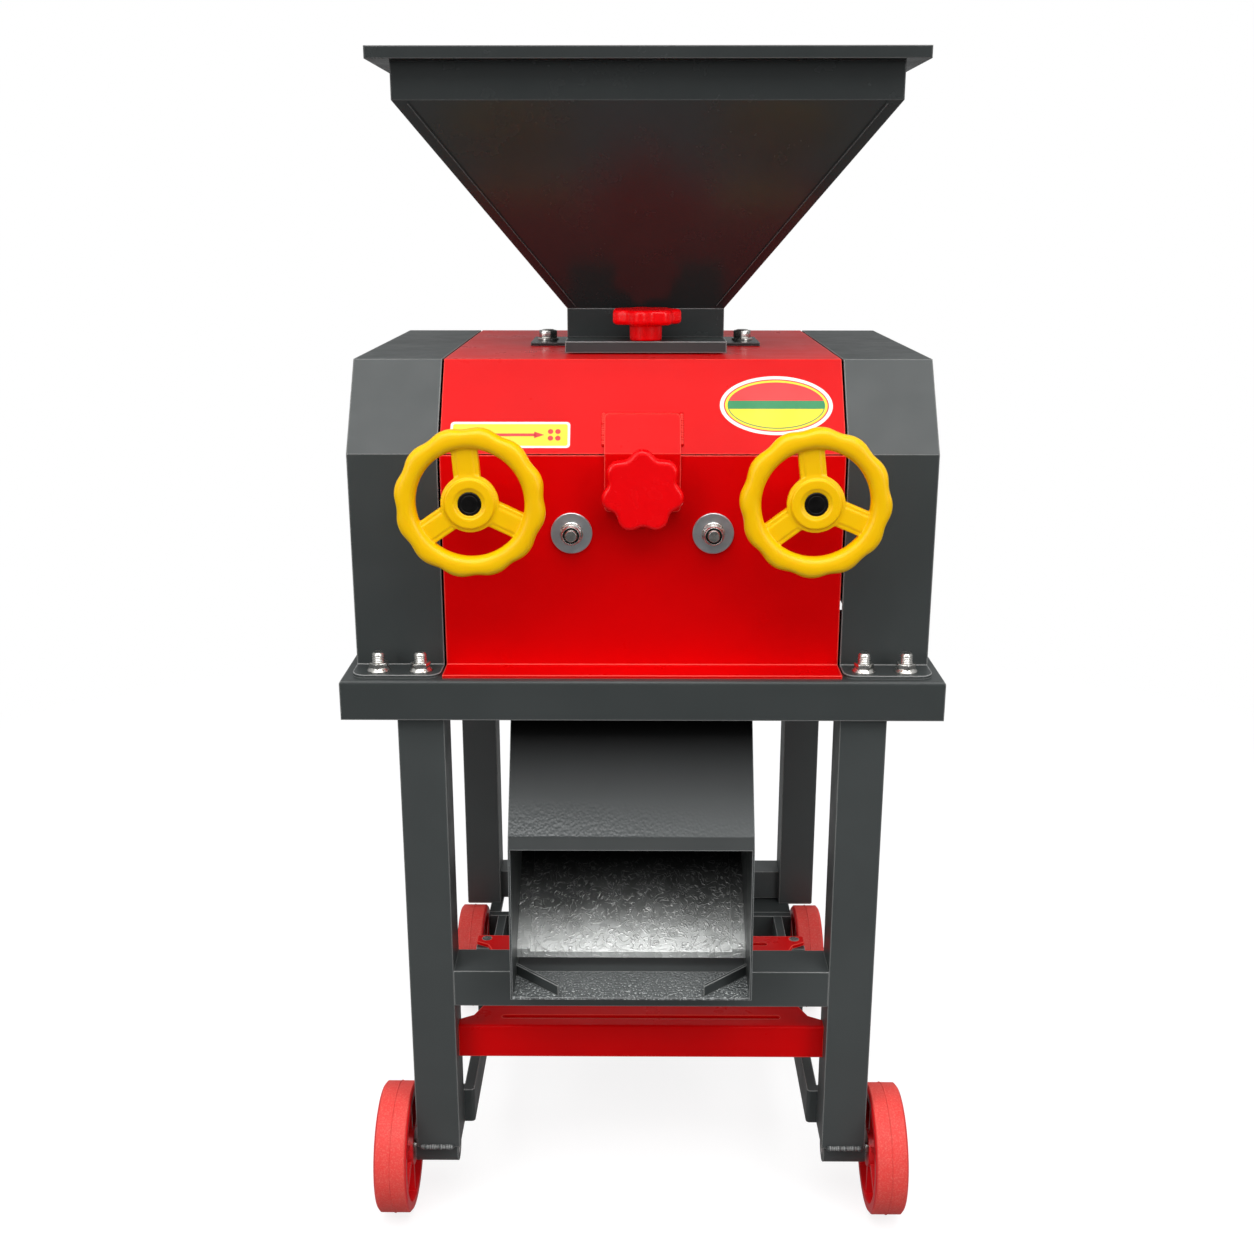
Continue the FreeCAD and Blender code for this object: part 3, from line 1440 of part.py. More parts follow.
neck_top = housing_top + s.NeckHeight
slope_top = neck_top + s.SlopeHeight
collar_top = slope_top + s.CollarHeight
gate_top = housing_top + s.GateHeight


def ear_bolts():
    half = s.NeckWidth / 2 + s.EarBolt
    return [s.HopperOffset - half, s.HopperOffset + half]


def make_feed_neck():
    """The neck with bolted ears and the two rails that carry the gate."""
    body = new_body("feed_neck")
    x, y = neck_span(measure(0))
    x_in, y_in = neck_span(s.HopperSheet)
    pad(body, "NeckTube", "Z", housing_top, neck_top, [rectangle(x, y)])
    ears = rectangle((x[0] - s.EarReach, x[1] + s.EarReach), (nip - s.EarLength / 2, nip + s.EarLength / 2))
    pad(body, "NeckEars", "Z", housing_top, housing_top + s.PanelSheet, [ears])
    pocket(body, "NeckInside", "Z", housing_top, neck_top, [rectangle(x_in, y_in)])
    gap = s.HoodGap
    way = rectangle(x_in, (y[0], y_in[0]))
    pocket(body, "GateWay", "Z", housing_top, gate_top + gap, [way])
    rails = [rectangle((x_in[0], x_in[0] + s.GateHeight / 2), y_in),
             rectangle((x_in[1] - s.GateHeight / 2, x_in[1]), y_in)]
    rail_top = gate_top - s.HopperSheet - gap
    pad(body, "GateRails", "Z", housing_top, rail_top, rails)
    holes = [(place, nip, s.StudRadius) for place in ear_bolts()]
    pocket(body, "EarHoles", "Z", housing_top, housing_top + s.PanelSheet, [], holes)
    keep(body, "feed_neck")


def make_hopper():
    """Four sheets that slope up from the neck and bend upright at the collar, welded at the corners."""
    body = new_body("HopperSheets")
    for name, inset, kind in (("HopperOuter", measure(0), "PartDesign::AdditiveLoft"),
                              ("HopperInner", s.HopperSheet, "PartDesign::SubtractiveLoft")):
        low = rectangle(*neck_span(inset))
        high = rectangle(*collar_span(inset))
        if name == "HopperInner":
            pad(body, "HopperCollar", "Z", slope_top, collar_top, [rectangle(*collar_span(measure(0)))])
            pocket(body, "CollarInside", "Z", slope_top, collar_top, [high])
        first = draw(body, name + "Low", "Z", neck_top, [low])
        second = draw(body, name + "High", "Z", slope_top, [high])
        loft = body.newObject(kind, name)
        loft.Profile = first
        loft.Sections = [second]
        loft.Ruled = True
    inset = s.HopperSheet
    low_y = neck_span(inset)[1]
    high_y = collar_span(inset)[1]
    x = collar_span(measure(0))[0]
    between = [
        (low_y[0], neck_top),
        (low_y[1], neck_top),
        (high_y[1], slope_top),
        (high_y[1], collar_top),
        (high_y[0], collar_top),
        (high_y[0], slope_top),
    ]
    inside = new_body("HopperInside")
    pad(inside, "HopperInsidePad", "X", x[0], x[1], [between])
    ends = cut("HopperFrontAndRear", body, [inside])
    flanks = doc.addObject("Part::Common", "HopperFlanks")
    flanks.Base = body
    flanks.Tool = inside
    keep(group("hopper_shell", [ends, flanks]), "hopper_shell")


def make_rim():
    """The hopper's edge: a flange turned out and a lip at its border."""
    body = new_body("hopper_rim")
    outer = rectangle(*collar_span(-s.RimFlange))
    inner = rectangle(*collar_span(s.HopperSheet))
    lip_inner = rectangle(*collar_span(s.HopperSheet - s.RimFlange))
    top = collar_top + s.RimLip
    pad(body, "RimBlank", "Z", collar_top, top, [outer])
    pocket(body, "RimDish", "Z", collar_top + s.HopperSheet, top, [lip_inner])
    pocket(body, "RimOpening", "Z", collar_top, collar_top + s.HopperSheet, [inner])
    keep(body, "hopper_rim")


def make_hopper_bolts():
    bolts = []
    seat = housing_top + s.PanelSheet
    radius = s.StudRadius
    for step, place in enumerate(ear_bolts()):
        centre = (place, nip)
        name = str(step)
        shank = rod("EarShank" + name, "Z", centre, radius, housing_top - s.PanelSheet, seat)
        washer = rod("EarWasher" + name, "Z", centre, radius * 2, seat, seat + radius * 0.4)
        head = hexagon("EarHead" + name, "Z", centre, radius * 3.2, seat + radius * 0.4, seat + radius * 2)
        nut = hexagon("EarNut" + name, "Z", centre, radius * 3.2,
                      housing_top - s.PanelSheet - radius * 1.5, housing_top - s.PanelSheet)
        bolts.append(fused("HopperBolt" + name, [shank, washer, head, nut]))
    keep(group("hopper_bolts", bolts), "hopper_bolts")


def make_gate():
    """The feed gate: a flat slide with a front ledge folded down to the hood."""
    body = new_body("feed_gate")
    gap = s.HoodGap
    x, y = neck_span(measure(0))
    x_in, y_in = neck_span(s.HopperSheet + gap)
    front = y[0] - s.GateLedge
    z = (gate_top - s.HopperSheet, gate_top)
    slide = rectangle(x_in, (front, y_in[1]))
    pad(body, "GateSlide", "Z", z[0], z[1], [slide])
    ledge = rectangle(x, (front, y[0] - gap))
    pad(body, "GateLedge", "Z", z[0], z[1], [ledge])
    lip = rectangle(x, (front, front + s.HopperSheet))
    pad(body, "GateLip", "Z", housing_top + s.GateClearance, z[1], [lip])
    hole = (s.HopperOffset, y[0] - s.GateKnobPlace, s.StudRadius + s.RunningGap)
    pocket(body, "GateScrewHole", "Z", z[0], z[1], [], [hole])
    keep(body, "feed_gate")


def make_gate_knob():
    """The star knob on the ledge; its screw clamps the gate on the hood."""
    body = new_body("gate_knob")
    centre = (s.HopperOffset, nip - s.NeckDepth / 2 - s.GateKnobPlace)
    seat = gate_top + s.HoodGap
    head = seat + s.KnobStemLength
    star(body, "gate_knob", "Z", centre, head, head + s.KnobThickness, s.GateKnobRadius)
    pad(body, "GateKnobNeck", "Z", seat, head, [], [centre + (s.KnobStem,)])
    pad(body, "GateKnobScrew", "Z", housing_top + s.HoodGap, seat, [], [centre + (s.StudRadius,)])
    keep(body, "gate_knob")


make_stand()
make_axles()
make_motor_plate()
make_motor_posts()
make_chute_body()
make_chute_floor()
make_chute_tray()
make_funnel()
make_panel(True)
make_panel(False)
make_hood()
make_strap()
make_hinges()
make_latch()
for side in (-1, 1):
    make_cover(side)
    make_frame(side)
    make_adjuster(side)
make_cover_bolts()
make_frame_bolts()
make_rear_bearings()
make_front_blocks()
make_rollers()
make_gears()
make_pulley()
make_scraper(True)
make_scraper(False)
make_scraper_bolts()
make_feed_neck()
make_hopper()
make_rim()
make_hopper_bolts()
make_gate()
make_gate_knob()

doc.recompute()
for item in doc.Objects:
    if "Invalid" in item.State or "Error" in item.State:
        raise RuntimeError("%s failed: %s" % (item.Label, item.State))
os.makedirs("parts", exist_ok=True)
for label, item in sorted(nodes.items()):
    if item.Shape.isNull() or not item.Shape.isValid():
        raise RuntimeError("%s has no valid shape" % label)
    box = item.Shape.BoundBox
    solids = len(item.Shape.Solids)
    print("%-24s %d solids  x %.1f %.1f  y %.1f %.1f  z %.1f %.1f" % (
        label, solids, box.XMin, box.XMax, box.YMin, box.YMax, box.ZMin, box.ZMax))
    item.Shape.exportStep("parts/%s.step" % label)
print(len(nodes), "nodes")
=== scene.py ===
# %% [markdown]
# A grain roller mill, dressed for its portrait. The steelwork, the rollers and the running wheels come from
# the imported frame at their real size. This lesson gives them their finishes, and replaces the handwheels,
# the knobs and the bolts in view with pieces that show how such parts really look up close.

# %% Load the frame
import json
import math
import bmesh
import bpy
from mathutils import Matrix, Vector


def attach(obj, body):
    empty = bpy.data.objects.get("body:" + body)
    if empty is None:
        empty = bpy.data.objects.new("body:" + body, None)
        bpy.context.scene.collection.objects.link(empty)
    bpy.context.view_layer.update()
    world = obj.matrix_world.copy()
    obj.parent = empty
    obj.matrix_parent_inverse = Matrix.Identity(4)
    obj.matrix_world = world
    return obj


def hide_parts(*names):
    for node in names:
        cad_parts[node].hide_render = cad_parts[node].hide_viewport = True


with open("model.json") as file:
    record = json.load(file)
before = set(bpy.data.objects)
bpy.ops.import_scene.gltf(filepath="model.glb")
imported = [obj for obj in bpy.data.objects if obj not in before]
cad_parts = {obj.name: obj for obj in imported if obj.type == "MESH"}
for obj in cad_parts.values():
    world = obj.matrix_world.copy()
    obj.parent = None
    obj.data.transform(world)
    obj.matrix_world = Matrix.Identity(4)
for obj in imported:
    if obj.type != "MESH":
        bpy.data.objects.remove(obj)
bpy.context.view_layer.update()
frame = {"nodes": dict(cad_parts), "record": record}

MM = 0.001

# %% [markdown]
# Every finish is a small tree of nodes on one Principled surface. Writing each link out by hand hides what
# matters, so small helpers come first: one adds a node with its settings and inputs, one mixes two colours,
# and the others give sums, ranges, places, noise and bumps. All patterns read Object coordinates, which are
# metres here, so a scale of 1000 is a millimetre.

# %% Shader helpers


def start_finish(name, roughness=0.4, metallic=0.0, specular=0.5):
    made = bpy.data.materials.new(name)
    made.use_nodes = True
    surface = made.node_tree.nodes["Principled BSDF"]
    surface.inputs["Roughness"].default_value = roughness
    surface.inputs["Metallic"].default_value = metallic
    surface.inputs["Specular IOR Level"].default_value = specular
    return made, made.node_tree, surface


def add(tree, kind, inputs=None, **settings):
    node = tree.nodes.new(kind)
    for name, value in settings.items():
        setattr(node, name, value)
    for socket, source in (inputs or {}).items():
        if isinstance(source, bpy.types.NodeSocket):
            tree.links.new(source, node.inputs[socket])
        else:
            node.inputs[socket].default_value = source
    return node


def mixed(tree, factor, first, second):
    """A colour between two others; the factor is a socket or a number."""
    node = add(tree, "ShaderNodeMix", data_type="RGBA")
    for index, source in ((0, factor), (6, first), (7, second)):
        if isinstance(source, bpy.types.NodeSocket):
            tree.links.new(source, node.inputs[index])
        elif index == 0:
            node.inputs[index].default_value = source
        else:
            node.inputs[index].default_value = (*source, 1)
    return node.outputs[2]


def spread(tree, value, low, high, to_low, to_high):
    """Maps a value from one range to another, held at its ends."""
    inputs = {"Value": value, "From Min": low, "From Max": high, "To Min": to_low, "To Max": to_high}
    return add(tree, "ShaderNodeMapRange", inputs).outputs["Result"]


def maths(tree, operation, first, second=0.0):
    return add(tree, "ShaderNodeMath", {0: first, 1: second}, operation=operation).outputs[0]


def place(tree):
    return add(tree, "ShaderNodeTexCoord").outputs["Object"]


def coordinate(tree, letter):
    return add(tree, "ShaderNodeSeparateXYZ", {0: place(tree)}).outputs[letter]


def noise(tree, scale, detail=2.0, roughness=0.5, vector=None):
    inputs = {"Vector": vector or place(tree), "Scale": scale, "Detail": detail, "Roughness": roughness}
    return add(tree, "ShaderNodeTexNoise", inputs).outputs[0]


def wavy_place(tree, scale, detail, reach):
    """The place on the object, pushed about by noise, at most as far as reach in metres."""
    waves = add(tree, "ShaderNodeTexNoise", {"Vector": place(tree), "Scale": scale, "Detail": detail})
    push = add(tree, "ShaderNodeVectorMath", {0: waves.outputs["Color"], 1: (reach, reach, reach)},
               operation="MULTIPLY")
    pushed = add(tree, "ShaderNodeVectorMath", {0: place(tree), 1: push.outputs["Vector"]},
                 operation="ADD")
    return pushed.outputs["Vector"]


def uneven_gloss(tree, surface, pattern, roughness):
    """Lets a noise pattern move the roughness between two values."""
    tree.links.new(spread(tree, pattern, 0.3, 0.7, *roughness), surface.inputs["Roughness"])


def bump(tree, surface, height, strength, depth, under=None):
    inputs = {"Height": height, "Strength": strength, "Distance": depth}
    if under is not None:
        inputs["Normal"] = under
    node = add(tree, "ShaderNodeBump", inputs)
    tree.links.new(node.outputs["Normal"], surface.inputs["Normal"])
    return node.outputs["Normal"]


def soft_edges(tree, radius):
    """Rounds the look of sharp folds, as paint and bending do on real sheet."""
    return add(tree, "ShaderNodeBevel", {"Radius": radius}, samples=8).outputs["Normal"]


def edge_share(tree, rounded):
    """Nears 1 on a fold, where the rounded normal leaves the flat one; it places the painted fold highlight.
    """
    flat = add(tree, "ShaderNodeNewGeometry").outputs["Normal"]
    agreement = add(tree, "ShaderNodeVectorMath", {0: rounded, 1: flat}, operation="DOT_PRODUCT")
    return spread(tree, agreement.outputs["Value"], 0.945, 0.996, 1, 0)


# %% [markdown]
# The sheet steel is powder coated. Baked powder is never optically flat: it keeps a fine orange peel, its
# colour shifts a little over a panel, and handling leaves patches that are slightly duller. Each fold gets a
# pale line, a painted highlight for the glint that a rounded fold catches from the lamps. Peel is a bump
# about two millimetres across, a broad noise shifts the colour and a finer one the roughness, and a bevel
# normal rounds the folds and finds them for the painted highlight.

# %% Powder coat, grey and red
PEEL = 0.04


def powder_coat(name, main, shade, wear_and_fold_highlight, roughness, specular):
    made, tree, surface = start_finish(name, specular=specular)
    rounded = soft_edges(tree, 1.7 * MM)
    patches = noise(tree, 7.0, 3.0, 0.6)
    coat = mixed(tree, spread(tree, patches, 0.35, 0.7, 0, 1), main, shade)
    # the pale line along each fold is a painted highlight
    tree.links.new(mixed(tree, edge_share(tree, rounded), coat, wear_and_fold_highlight), surface.inputs["Base Color"])
    uneven_gloss(tree, surface, noise(tree, 23.0, 4.0, 0.7), roughness)
    bump(tree, surface, noise(tree, 420.0, 2.0), PEEL, 0.4 * MM, rounded)
    return made


# each coat's third colour is its painted highlight along the folds
grey_coat = powder_coat("grey powder coat", main=(0.047, 0.053, 0.053), shade=(0.040, 0.046, 0.046),
                        wear_and_fold_highlight=(0.30, 0.305, 0.30), roughness=(0.34, 0.46), specular=0.38)
stand_coat = powder_coat("grey powder coat, stand", main=(0.060, 0.067, 0.067), shade=(0.052, 0.058, 0.058),
                         wear_and_fold_highlight=(0.24, 0.245, 0.24), roughness=(0.34, 0.46), specular=0.38)
hopper_coat = powder_coat("grey powder coat, hopper", main=(0.030, 0.034, 0.034), shade=(0.024, 0.028, 0.028),
                          wear_and_fold_highlight=(0.13, 0.13, 0.13), roughness=(0.20, 0.30), specular=0.42)
red_coat = powder_coat("red powder coat", main=(0.74, 0.0, 0.001), shade=(0.66, 0.0, 0.001),
                       wear_and_fold_highlight=(0.98, 0.09, 0.07), roughness=(0.26, 0.36), specular=0.10)
print("powder coats:", grey_coat.name, stand_coat.name, hopper_coat.name, red_coat.name)

# %% [markdown]
# The chute is coated with a coarser powder that dries in small pits, a hammered look. It is strongest on
# the floor of the mouth and on the lower left of its front plate. Voronoi cells make the pits, and on the
# plate they fade with height. Under the table the plate falls off to near black in the table's shadow, which
# is more than the soft lamps here give, so a painted shade darkens its colour and dims its shine towards the
# top, and its lip gets a darker painted shade as well. The chute's folds get the pale painted highlight of
# the powder coat. The small glints on the floor of the mouth need a harder lamp as well: a pale spot in the
# middle of each pit is a painted glint that stands in for them.

# %% Hammered coat for the chute
PLATE_LIT_Z, PLATE_IN_SHADOW_Z = 0.40, 0.49
LIP_Z, ABOVE_LIP_Z = 0.4050, 0.4065
PITTED_Z, SMOOTH_Z = 0.406, 0.434
PITTED_X, SMOOTH_X = -0.11, 0.06
FLOOR_FRONT_Y, FLOOR_BACK_Y = -0.240, -0.205
PAINTED_PLATE_SHADE = (0.003, 0.003, 0.003)
PAINTED_LIP_SHADE = (0.044, 0.048, 0.048)
GLINT = (0.62, 0.65, 0.64)
FOLD_HIGHLIGHT = (0.30, 0.31, 0.31)


def pits(tree):
    """The distance from the middle of the nearest pit; the pits are about two millimetres wide."""
    where = wavy_place(tree, 160.0, 2.0, 0.0016)
    cells = add(tree, "ShaderNodeTexVoronoi", {"Vector": where, "Scale": 420.0}, feature="SMOOTH_F1")
    return cells.outputs["Distance"]


def painted_shade_and_smooth_with_height(tree, surface, coat, depth):
    """The colour and the pits of the front plate: painted shade towards the top and on the lip, which is
    smooth.
    """
    height = coordinate(tree, "Z")
    # painted shade: the colour goes to near black and the shine dims towards the top, under the table
    unworn_and_unshaded = maths(tree, "POWER", spread(tree, height, PLATE_LIT_Z, PLATE_IN_SHADOW_Z, 1, 0), 1.5)
    tree.links.new(spread(tree, unworn_and_unshaded, 0, 1, 0.02, 0.5), surface.inputs["Specular IOR Level"])
    # painted shade: the lip and everything below it take a darker grey
    above_lip = spread(tree, height, LIP_Z, ABOVE_LIP_Z, 0, 1)
    coat = mixed(tree, above_lip, PAINTED_LIP_SHADE, mixed(tree, unworn_and_unshaded, PAINTED_PLATE_SHADE, coat))
    low = spread(tree, height, PITTED_Z, SMOOTH_Z, 0.35, 0)
    left = spread(tree, coordinate(tree, "X"), PITTED_X, SMOOTH_X, 1, 0.2)
    amount = maths(tree, "MULTIPLY", maths(tree, "MULTIPLY", low, left), above_lip)
    return coat, maths(tree, "MULTIPLY", depth, amount)


def glinting(tree, coat, depth):
    """The colour of the floor of the mouth, whose glints are strongest in front."""
    spots = spread(tree, depth, 0.12, 0.34, 1, 0)
    front = spread(tree, coordinate(tree, "Y"), FLOOR_FRONT_Y, FLOOR_BACK_Y, 0.9, 0.15)
    return mixed(tree, maths(tree, "MULTIPLY", spots, front), coat, GLINT)


def hammered_coat(name, first, second, roughness, upright):
    made, tree, surface = start_finish(name, specular=0.5)
    coat = mixed(tree, noise(tree, 9.0, 3.0), first, second)
    depth = pits(tree)
    rounded = soft_edges(tree, 1.2 * MM)
    if upright:
        coat, depth = painted_shade_and_smooth_with_height(tree, surface, coat, depth)
    else:
        coat = glinting(tree, coat, depth)
    # the pale line along each fold is a painted highlight
    tree.links.new(mixed(tree, edge_share(tree, rounded), coat, FOLD_HIGHLIGHT), surface.inputs["Base Color"])
    uneven_gloss(tree, surface, noise(tree, 30.0, 4.0), roughness)
    bump(tree, surface, depth, 1.0, 3.0 * MM, rounded)
    return made


floor_coat = hammered_coat("hammered coat, chute floor", (0.12, 0.13, 0.13), (0.17, 0.18, 0.18),
                           roughness=(0.15, 0.24), upright=False)
chute_coat = hammered_coat("hammered coat, chute", (0.078, 0.085, 0.086), (0.103, 0.111, 0.112),
                           roughness=(0.30, 0.42), upright=True)
print("hammered coats:", floor_coat.name, "and", chute_coat.name)

# %% [markdown]
# The tray in the chute is galvanised sheet. Zinc freezes in crystals of slightly different grey, and the
# thin pressed sheet keeps fine curly crinkles that catch the light. The crystals are Voronoi cells bent by
# noise. The crinkles are contour lines of a noise field, broken up by a second one; they bump the sheet, and
# their glint is a painted highlight, pale lines in the colour. Inside the chute the tray falls off to near
# black in the shade of the chute's front plate, again more than the lamps here give, so a painted shade
# darkens its colour towards the top, and the painted highlight fades with it.

# %% Galvanised sheet
TRAY_LIT_Z, TRAY_IN_SHADOW_Z = 0.286, 0.337
PAINTED_TRAY_SHADE = (0.008, 0.009, 0.009)
CRINKLE_HIGHLIGHT = (1.0, 1.0, 0.99)


def curly_lines(tree, vector):
    contours = maths(tree, "FRACT", maths(tree, "MULTIPLY", noise(tree, 70.0, 2.0, 0.6, vector), 9.0))
    away = maths(tree, "ABSOLUTE", maths(tree, "SUBTRACT", contours, 0.5))
    line = spread(tree, away, 0.03, 0.20, 1, 0)
    broken = spread(tree, noise(tree, 150.0, 2.0), 0.40, 0.54, 0, 1)
    return maths(tree, "MULTIPLY", line, broken)


def galvanised_sheet():
    made, tree, surface = start_finish("galvanised sheet", metallic=0.55, specular=0.15)
    where = wavy_place(tree, 55.0, 3.0, 0.02)
    crystals = add(tree, "ShaderNodeTexVoronoi", {"Vector": where, "Scale": 150.0})
    grey = add(tree, "ShaderNodeSeparateColor", {0: crystals.outputs["Color"]}).outputs[0]
    zinc = mixed(tree, grey, (0.74, 0.76, 0.74), (0.92, 0.94, 0.92))
    # painted shade: the tray's colour goes to near black towards the top, under the chute's front plate
    unworn_and_unshaded = maths(tree, "POWER", spread(tree, coordinate(tree, "Z"), TRAY_LIT_Z, TRAY_IN_SHADOW_Z, 1, 0), 1.9)
    sheet = mixed(tree, unworn_and_unshaded, PAINTED_TRAY_SHADE, zinc)
    line = curly_lines(tree, where)
    # painted highlight: the crinkle lines turn pale, less so in the painted shade
    bright = maths(tree, "MULTIPLY", line, spread(tree, unworn_and_unshaded, 0, 0.5, 0.0, 0.7))
    tree.links.new(mixed(tree, bright, sheet, CRINKLE_HIGHLIGHT), surface.inputs["Base Color"])
    tree.links.new(spread(tree, grey, 0, 1, 0.34, 0.48), surface.inputs["Roughness"])
    bump(tree, surface, line, 0.7, 0.6 * MM, soft_edges(tree, 0.8 * MM))
    return made


zinc_sheet = galvanised_sheet()
print("tray finish:", zinc_sheet.name)

# %% [markdown]
# The fasteners are zinc plated and bright, the rollers and gears are ground steel with a film of oil, and
# the roller frames, bearings and pulley are sand castings. All three are metals, so their colour is the
# colour of their reflections: what sets them apart is how rough they are and how their surface waves.

# %% Bare metals


def bare_metal(name, tint, dark, roughness, grain, strength):
    made, tree, surface = start_finish(name, metallic=1.0)
    stains = spread(tree, noise(tree, 60.0, 4.0, 0.65), 0.35, 0.75, 0, 1)
    tree.links.new(mixed(tree, stains, tint, dark), surface.inputs["Base Color"])
    uneven_gloss(tree, surface, noise(tree, 210.0, 3.0), roughness)
    bump(tree, surface, noise(tree, grain, 3.0), strength, 0.3 * MM, soft_edges(tree, 0.4 * MM))
    return made


plated = bare_metal("bright zinc plate", (0.72, 0.71, 0.68), (0.50, 0.49, 0.46), (0.18, 0.32),
                    grain=900.0, strength=0.06)
washer_zinc = bare_metal("pale zinc washer", (0.60, 0.63, 0.65), (0.50, 0.53, 0.55), (0.34, 0.46),
                         grain=700.0, strength=0.05)
ground_steel = bare_metal("oiled ground steel", (0.42, 0.41, 0.40), (0.30, 0.29, 0.28), (0.22, 0.38),
                          grain=500.0, strength=0.08)
casting = bare_metal("sand casting", (0.16, 0.165, 0.17), (0.10, 0.105, 0.11), (0.45, 0.62),
                     grain=260.0, strength=0.35)
black_oxide = bare_metal("black oxide", (0.030, 0.029, 0.028), (0.016, 0.015, 0.015), (0.30, 0.45),
                         grain=600.0, strength=0.08)
print("bare metals:", plated.name, washer_zinc.name, ground_steel.name, casting.name, black_oxide.name)

# %% [markdown]
# The handwheels, the knobs and the running wheels are moulded plastic. A moulding is glossy where the tool
# was polished and has shallow sink waves, and light enters it a little, so it gets some subsurface. The
# tread of a running wheel is scuffed: it is paler, dull and speckled, while its sides stay clean red.

# %% Moulded plastics
# seen from the side: how far the axles are from the middle, and how high
WHEEL_AXLE = (0.184, 0.060, 0.0)
WHEEL_SIDE_REACH, TREAD_REACH = 0.0580, 0.0588


def moulding(name, main, shade, roughness, depth):
    made, tree, surface = start_finish(name, specular=0.28)
    tree.links.new(mixed(tree, noise(tree, 26.0, 2.0), main, shade), surface.inputs["Base Color"])
    uneven_gloss(tree, surface, noise(tree, 90.0, 3.0), roughness)
    surface.inputs["Subsurface Weight"].default_value = depth
    surface.inputs["Subsurface Radius"].default_value = (0.004, 0.0015, 0.0008)
    surface.inputs["Subsurface Scale"].default_value = 0.4
    bump(tree, surface, noise(tree, 70.0, 2.0), 0.10, 0.6 * MM, soft_edges(tree, 0.5 * MM))
    return made


def running_wheel():
    """One finish for all four wheels: front and rear axles are equally far from the middle."""
    made, tree, surface = start_finish("running wheel", specular=0.4)
    along = maths(tree, "ABSOLUTE", coordinate(tree, "Y"))
    side_view = add(tree, "ShaderNodeCombineXYZ", {"X": along, "Y": coordinate(tree, "Z")}).outputs[0]
    reach = add(tree, "ShaderNodeVectorMath", {0: side_view, 1: WHEEL_AXLE}, operation="DISTANCE")
    tread = spread(tree, reach.outputs["Value"], WHEEL_SIDE_REACH, TREAD_REACH, 0, 1)
    speckle = spread(tree, noise(tree, 620.0, 3.0, 0.7), 0.48, 0.66, 0, 1)
    scuffs = spread(tree, noise(tree, 70.0, 4.0, 0.7), 0.35, 0.7, 0.25, 0.9)
    unworn_and_unshaded = mixed(tree, noise(tree, 20.0), (0.76, 0.006, 0.010), (0.68, 0.004, 0.008))
    wear_and_fold_highlight = mixed(tree, scuffs, (0.86, 0.045, 0.038), (0.78, 0.070, 0.058))
    dusty = mixed(tree, speckle, wear_and_fold_highlight, (0.84, 0.125, 0.100))
    tree.links.new(mixed(tree, tread, unworn_and_unshaded, dusty), surface.inputs["Base Color"])
    tree.links.new(spread(tree, tread, 0, 1, 0.34, 0.62), surface.inputs["Roughness"])
    grain = maths(tree, "MULTIPLY", tread, noise(tree, 520.0, 3.0))
    bump(tree, surface, grain, 0.35, 0.5 * MM, soft_edges(tree, 0.8 * MM))
    return made


yellow_moulding = moulding("yellow moulding", (1.0, 0.58, 0.0), (0.97, 0.53, 0.0), (0.28, 0.38), 0.12)
red_moulding = moulding("red moulding", (0.92, 0.0, 0.003), (0.84, 0.0, 0.002), (0.20, 0.30), 0.12)
wheel_moulding = running_wheel()
print("mouldings:", yellow_moulding.name, red_moulding.name, wheel_moulding.name)

# %% [markdown]
# Each frame node already knows its slot in the record, so finishes are dealt out by slot, and the few
# nodes whose real finish differs from their slot are named one by one.

# %% Deal the finishes out to the frame
BY_SLOT = {
    "grey_paint": grey_coat,
    "red_paint": red_coat,
    "red_wheel": wheel_moulding,
    "red_plastic": red_moulding,
    "yellow_plastic": yellow_moulding,
    "black_steel": black_oxide,
    "zinc_steel": plated,
    "galvanised": zinc_sheet,
    "roller_steel": ground_steel,
    "cast_iron": casting,
}
BY_NODE = {"chute_floor": floor_coat, "chute_body": chute_coat, "fender_washers": washer_zinc,
           "hopper_shell": hopper_coat, "hopper_rim": hopper_coat, "feed_neck": hopper_coat}
for node in ("leg_front_left", "leg_front_right", "leg_rear_left", "leg_rear_right", "front_stretcher",
             "rear_stretcher", "axle_sleeves"):
    BY_NODE[node] = stand_coat

slots = {entry["node"]: entry["material_slot"] for entry in frame["record"]["subparts"]}
for node, thing in frame["nodes"].items():
    finish = BY_NODE.get(node, BY_SLOT[slots[node]])
    if not thing.material_slots:
        thing.data.materials.append(finish)
    for slot in thing.material_slots:
        slot.material = finish
print("finished", len(slots), "frame nodes")

# %% [markdown]
# New pieces all end the same way: their faces point out, curved faces are shaded smooth and real edges stay
# sharp, and the piece rides on the body that carries it. One helper does that, and one more melts rough
# building blocks into a single moulding: a voxel remesh makes one skin, and smoothing rounds its corners.
# The other helpers turn an outline on a lathe, thicken a flat drawing and join shapes, all in millimetres.

# %% Piece helpers


def piece(name, shape, finish, body, replaces=(), sharp=35.0):
    bmesh.ops.recalc_face_normals(shape, faces=shape.faces)
    mesh = bpy.data.meshes.new(name)
    shape.to_mesh(mesh)
    shape.free()
    mesh.materials.append(finish)
    mesh.shade_smooth()
    mesh.set_sharp_from_angle(angle=math.radians(sharp))
    made = bpy.data.objects.new(name, mesh)
    bpy.context.scene.collection.objects.link(made)
    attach(made, body)
    if replaces:
        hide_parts(*replaces)
    return made


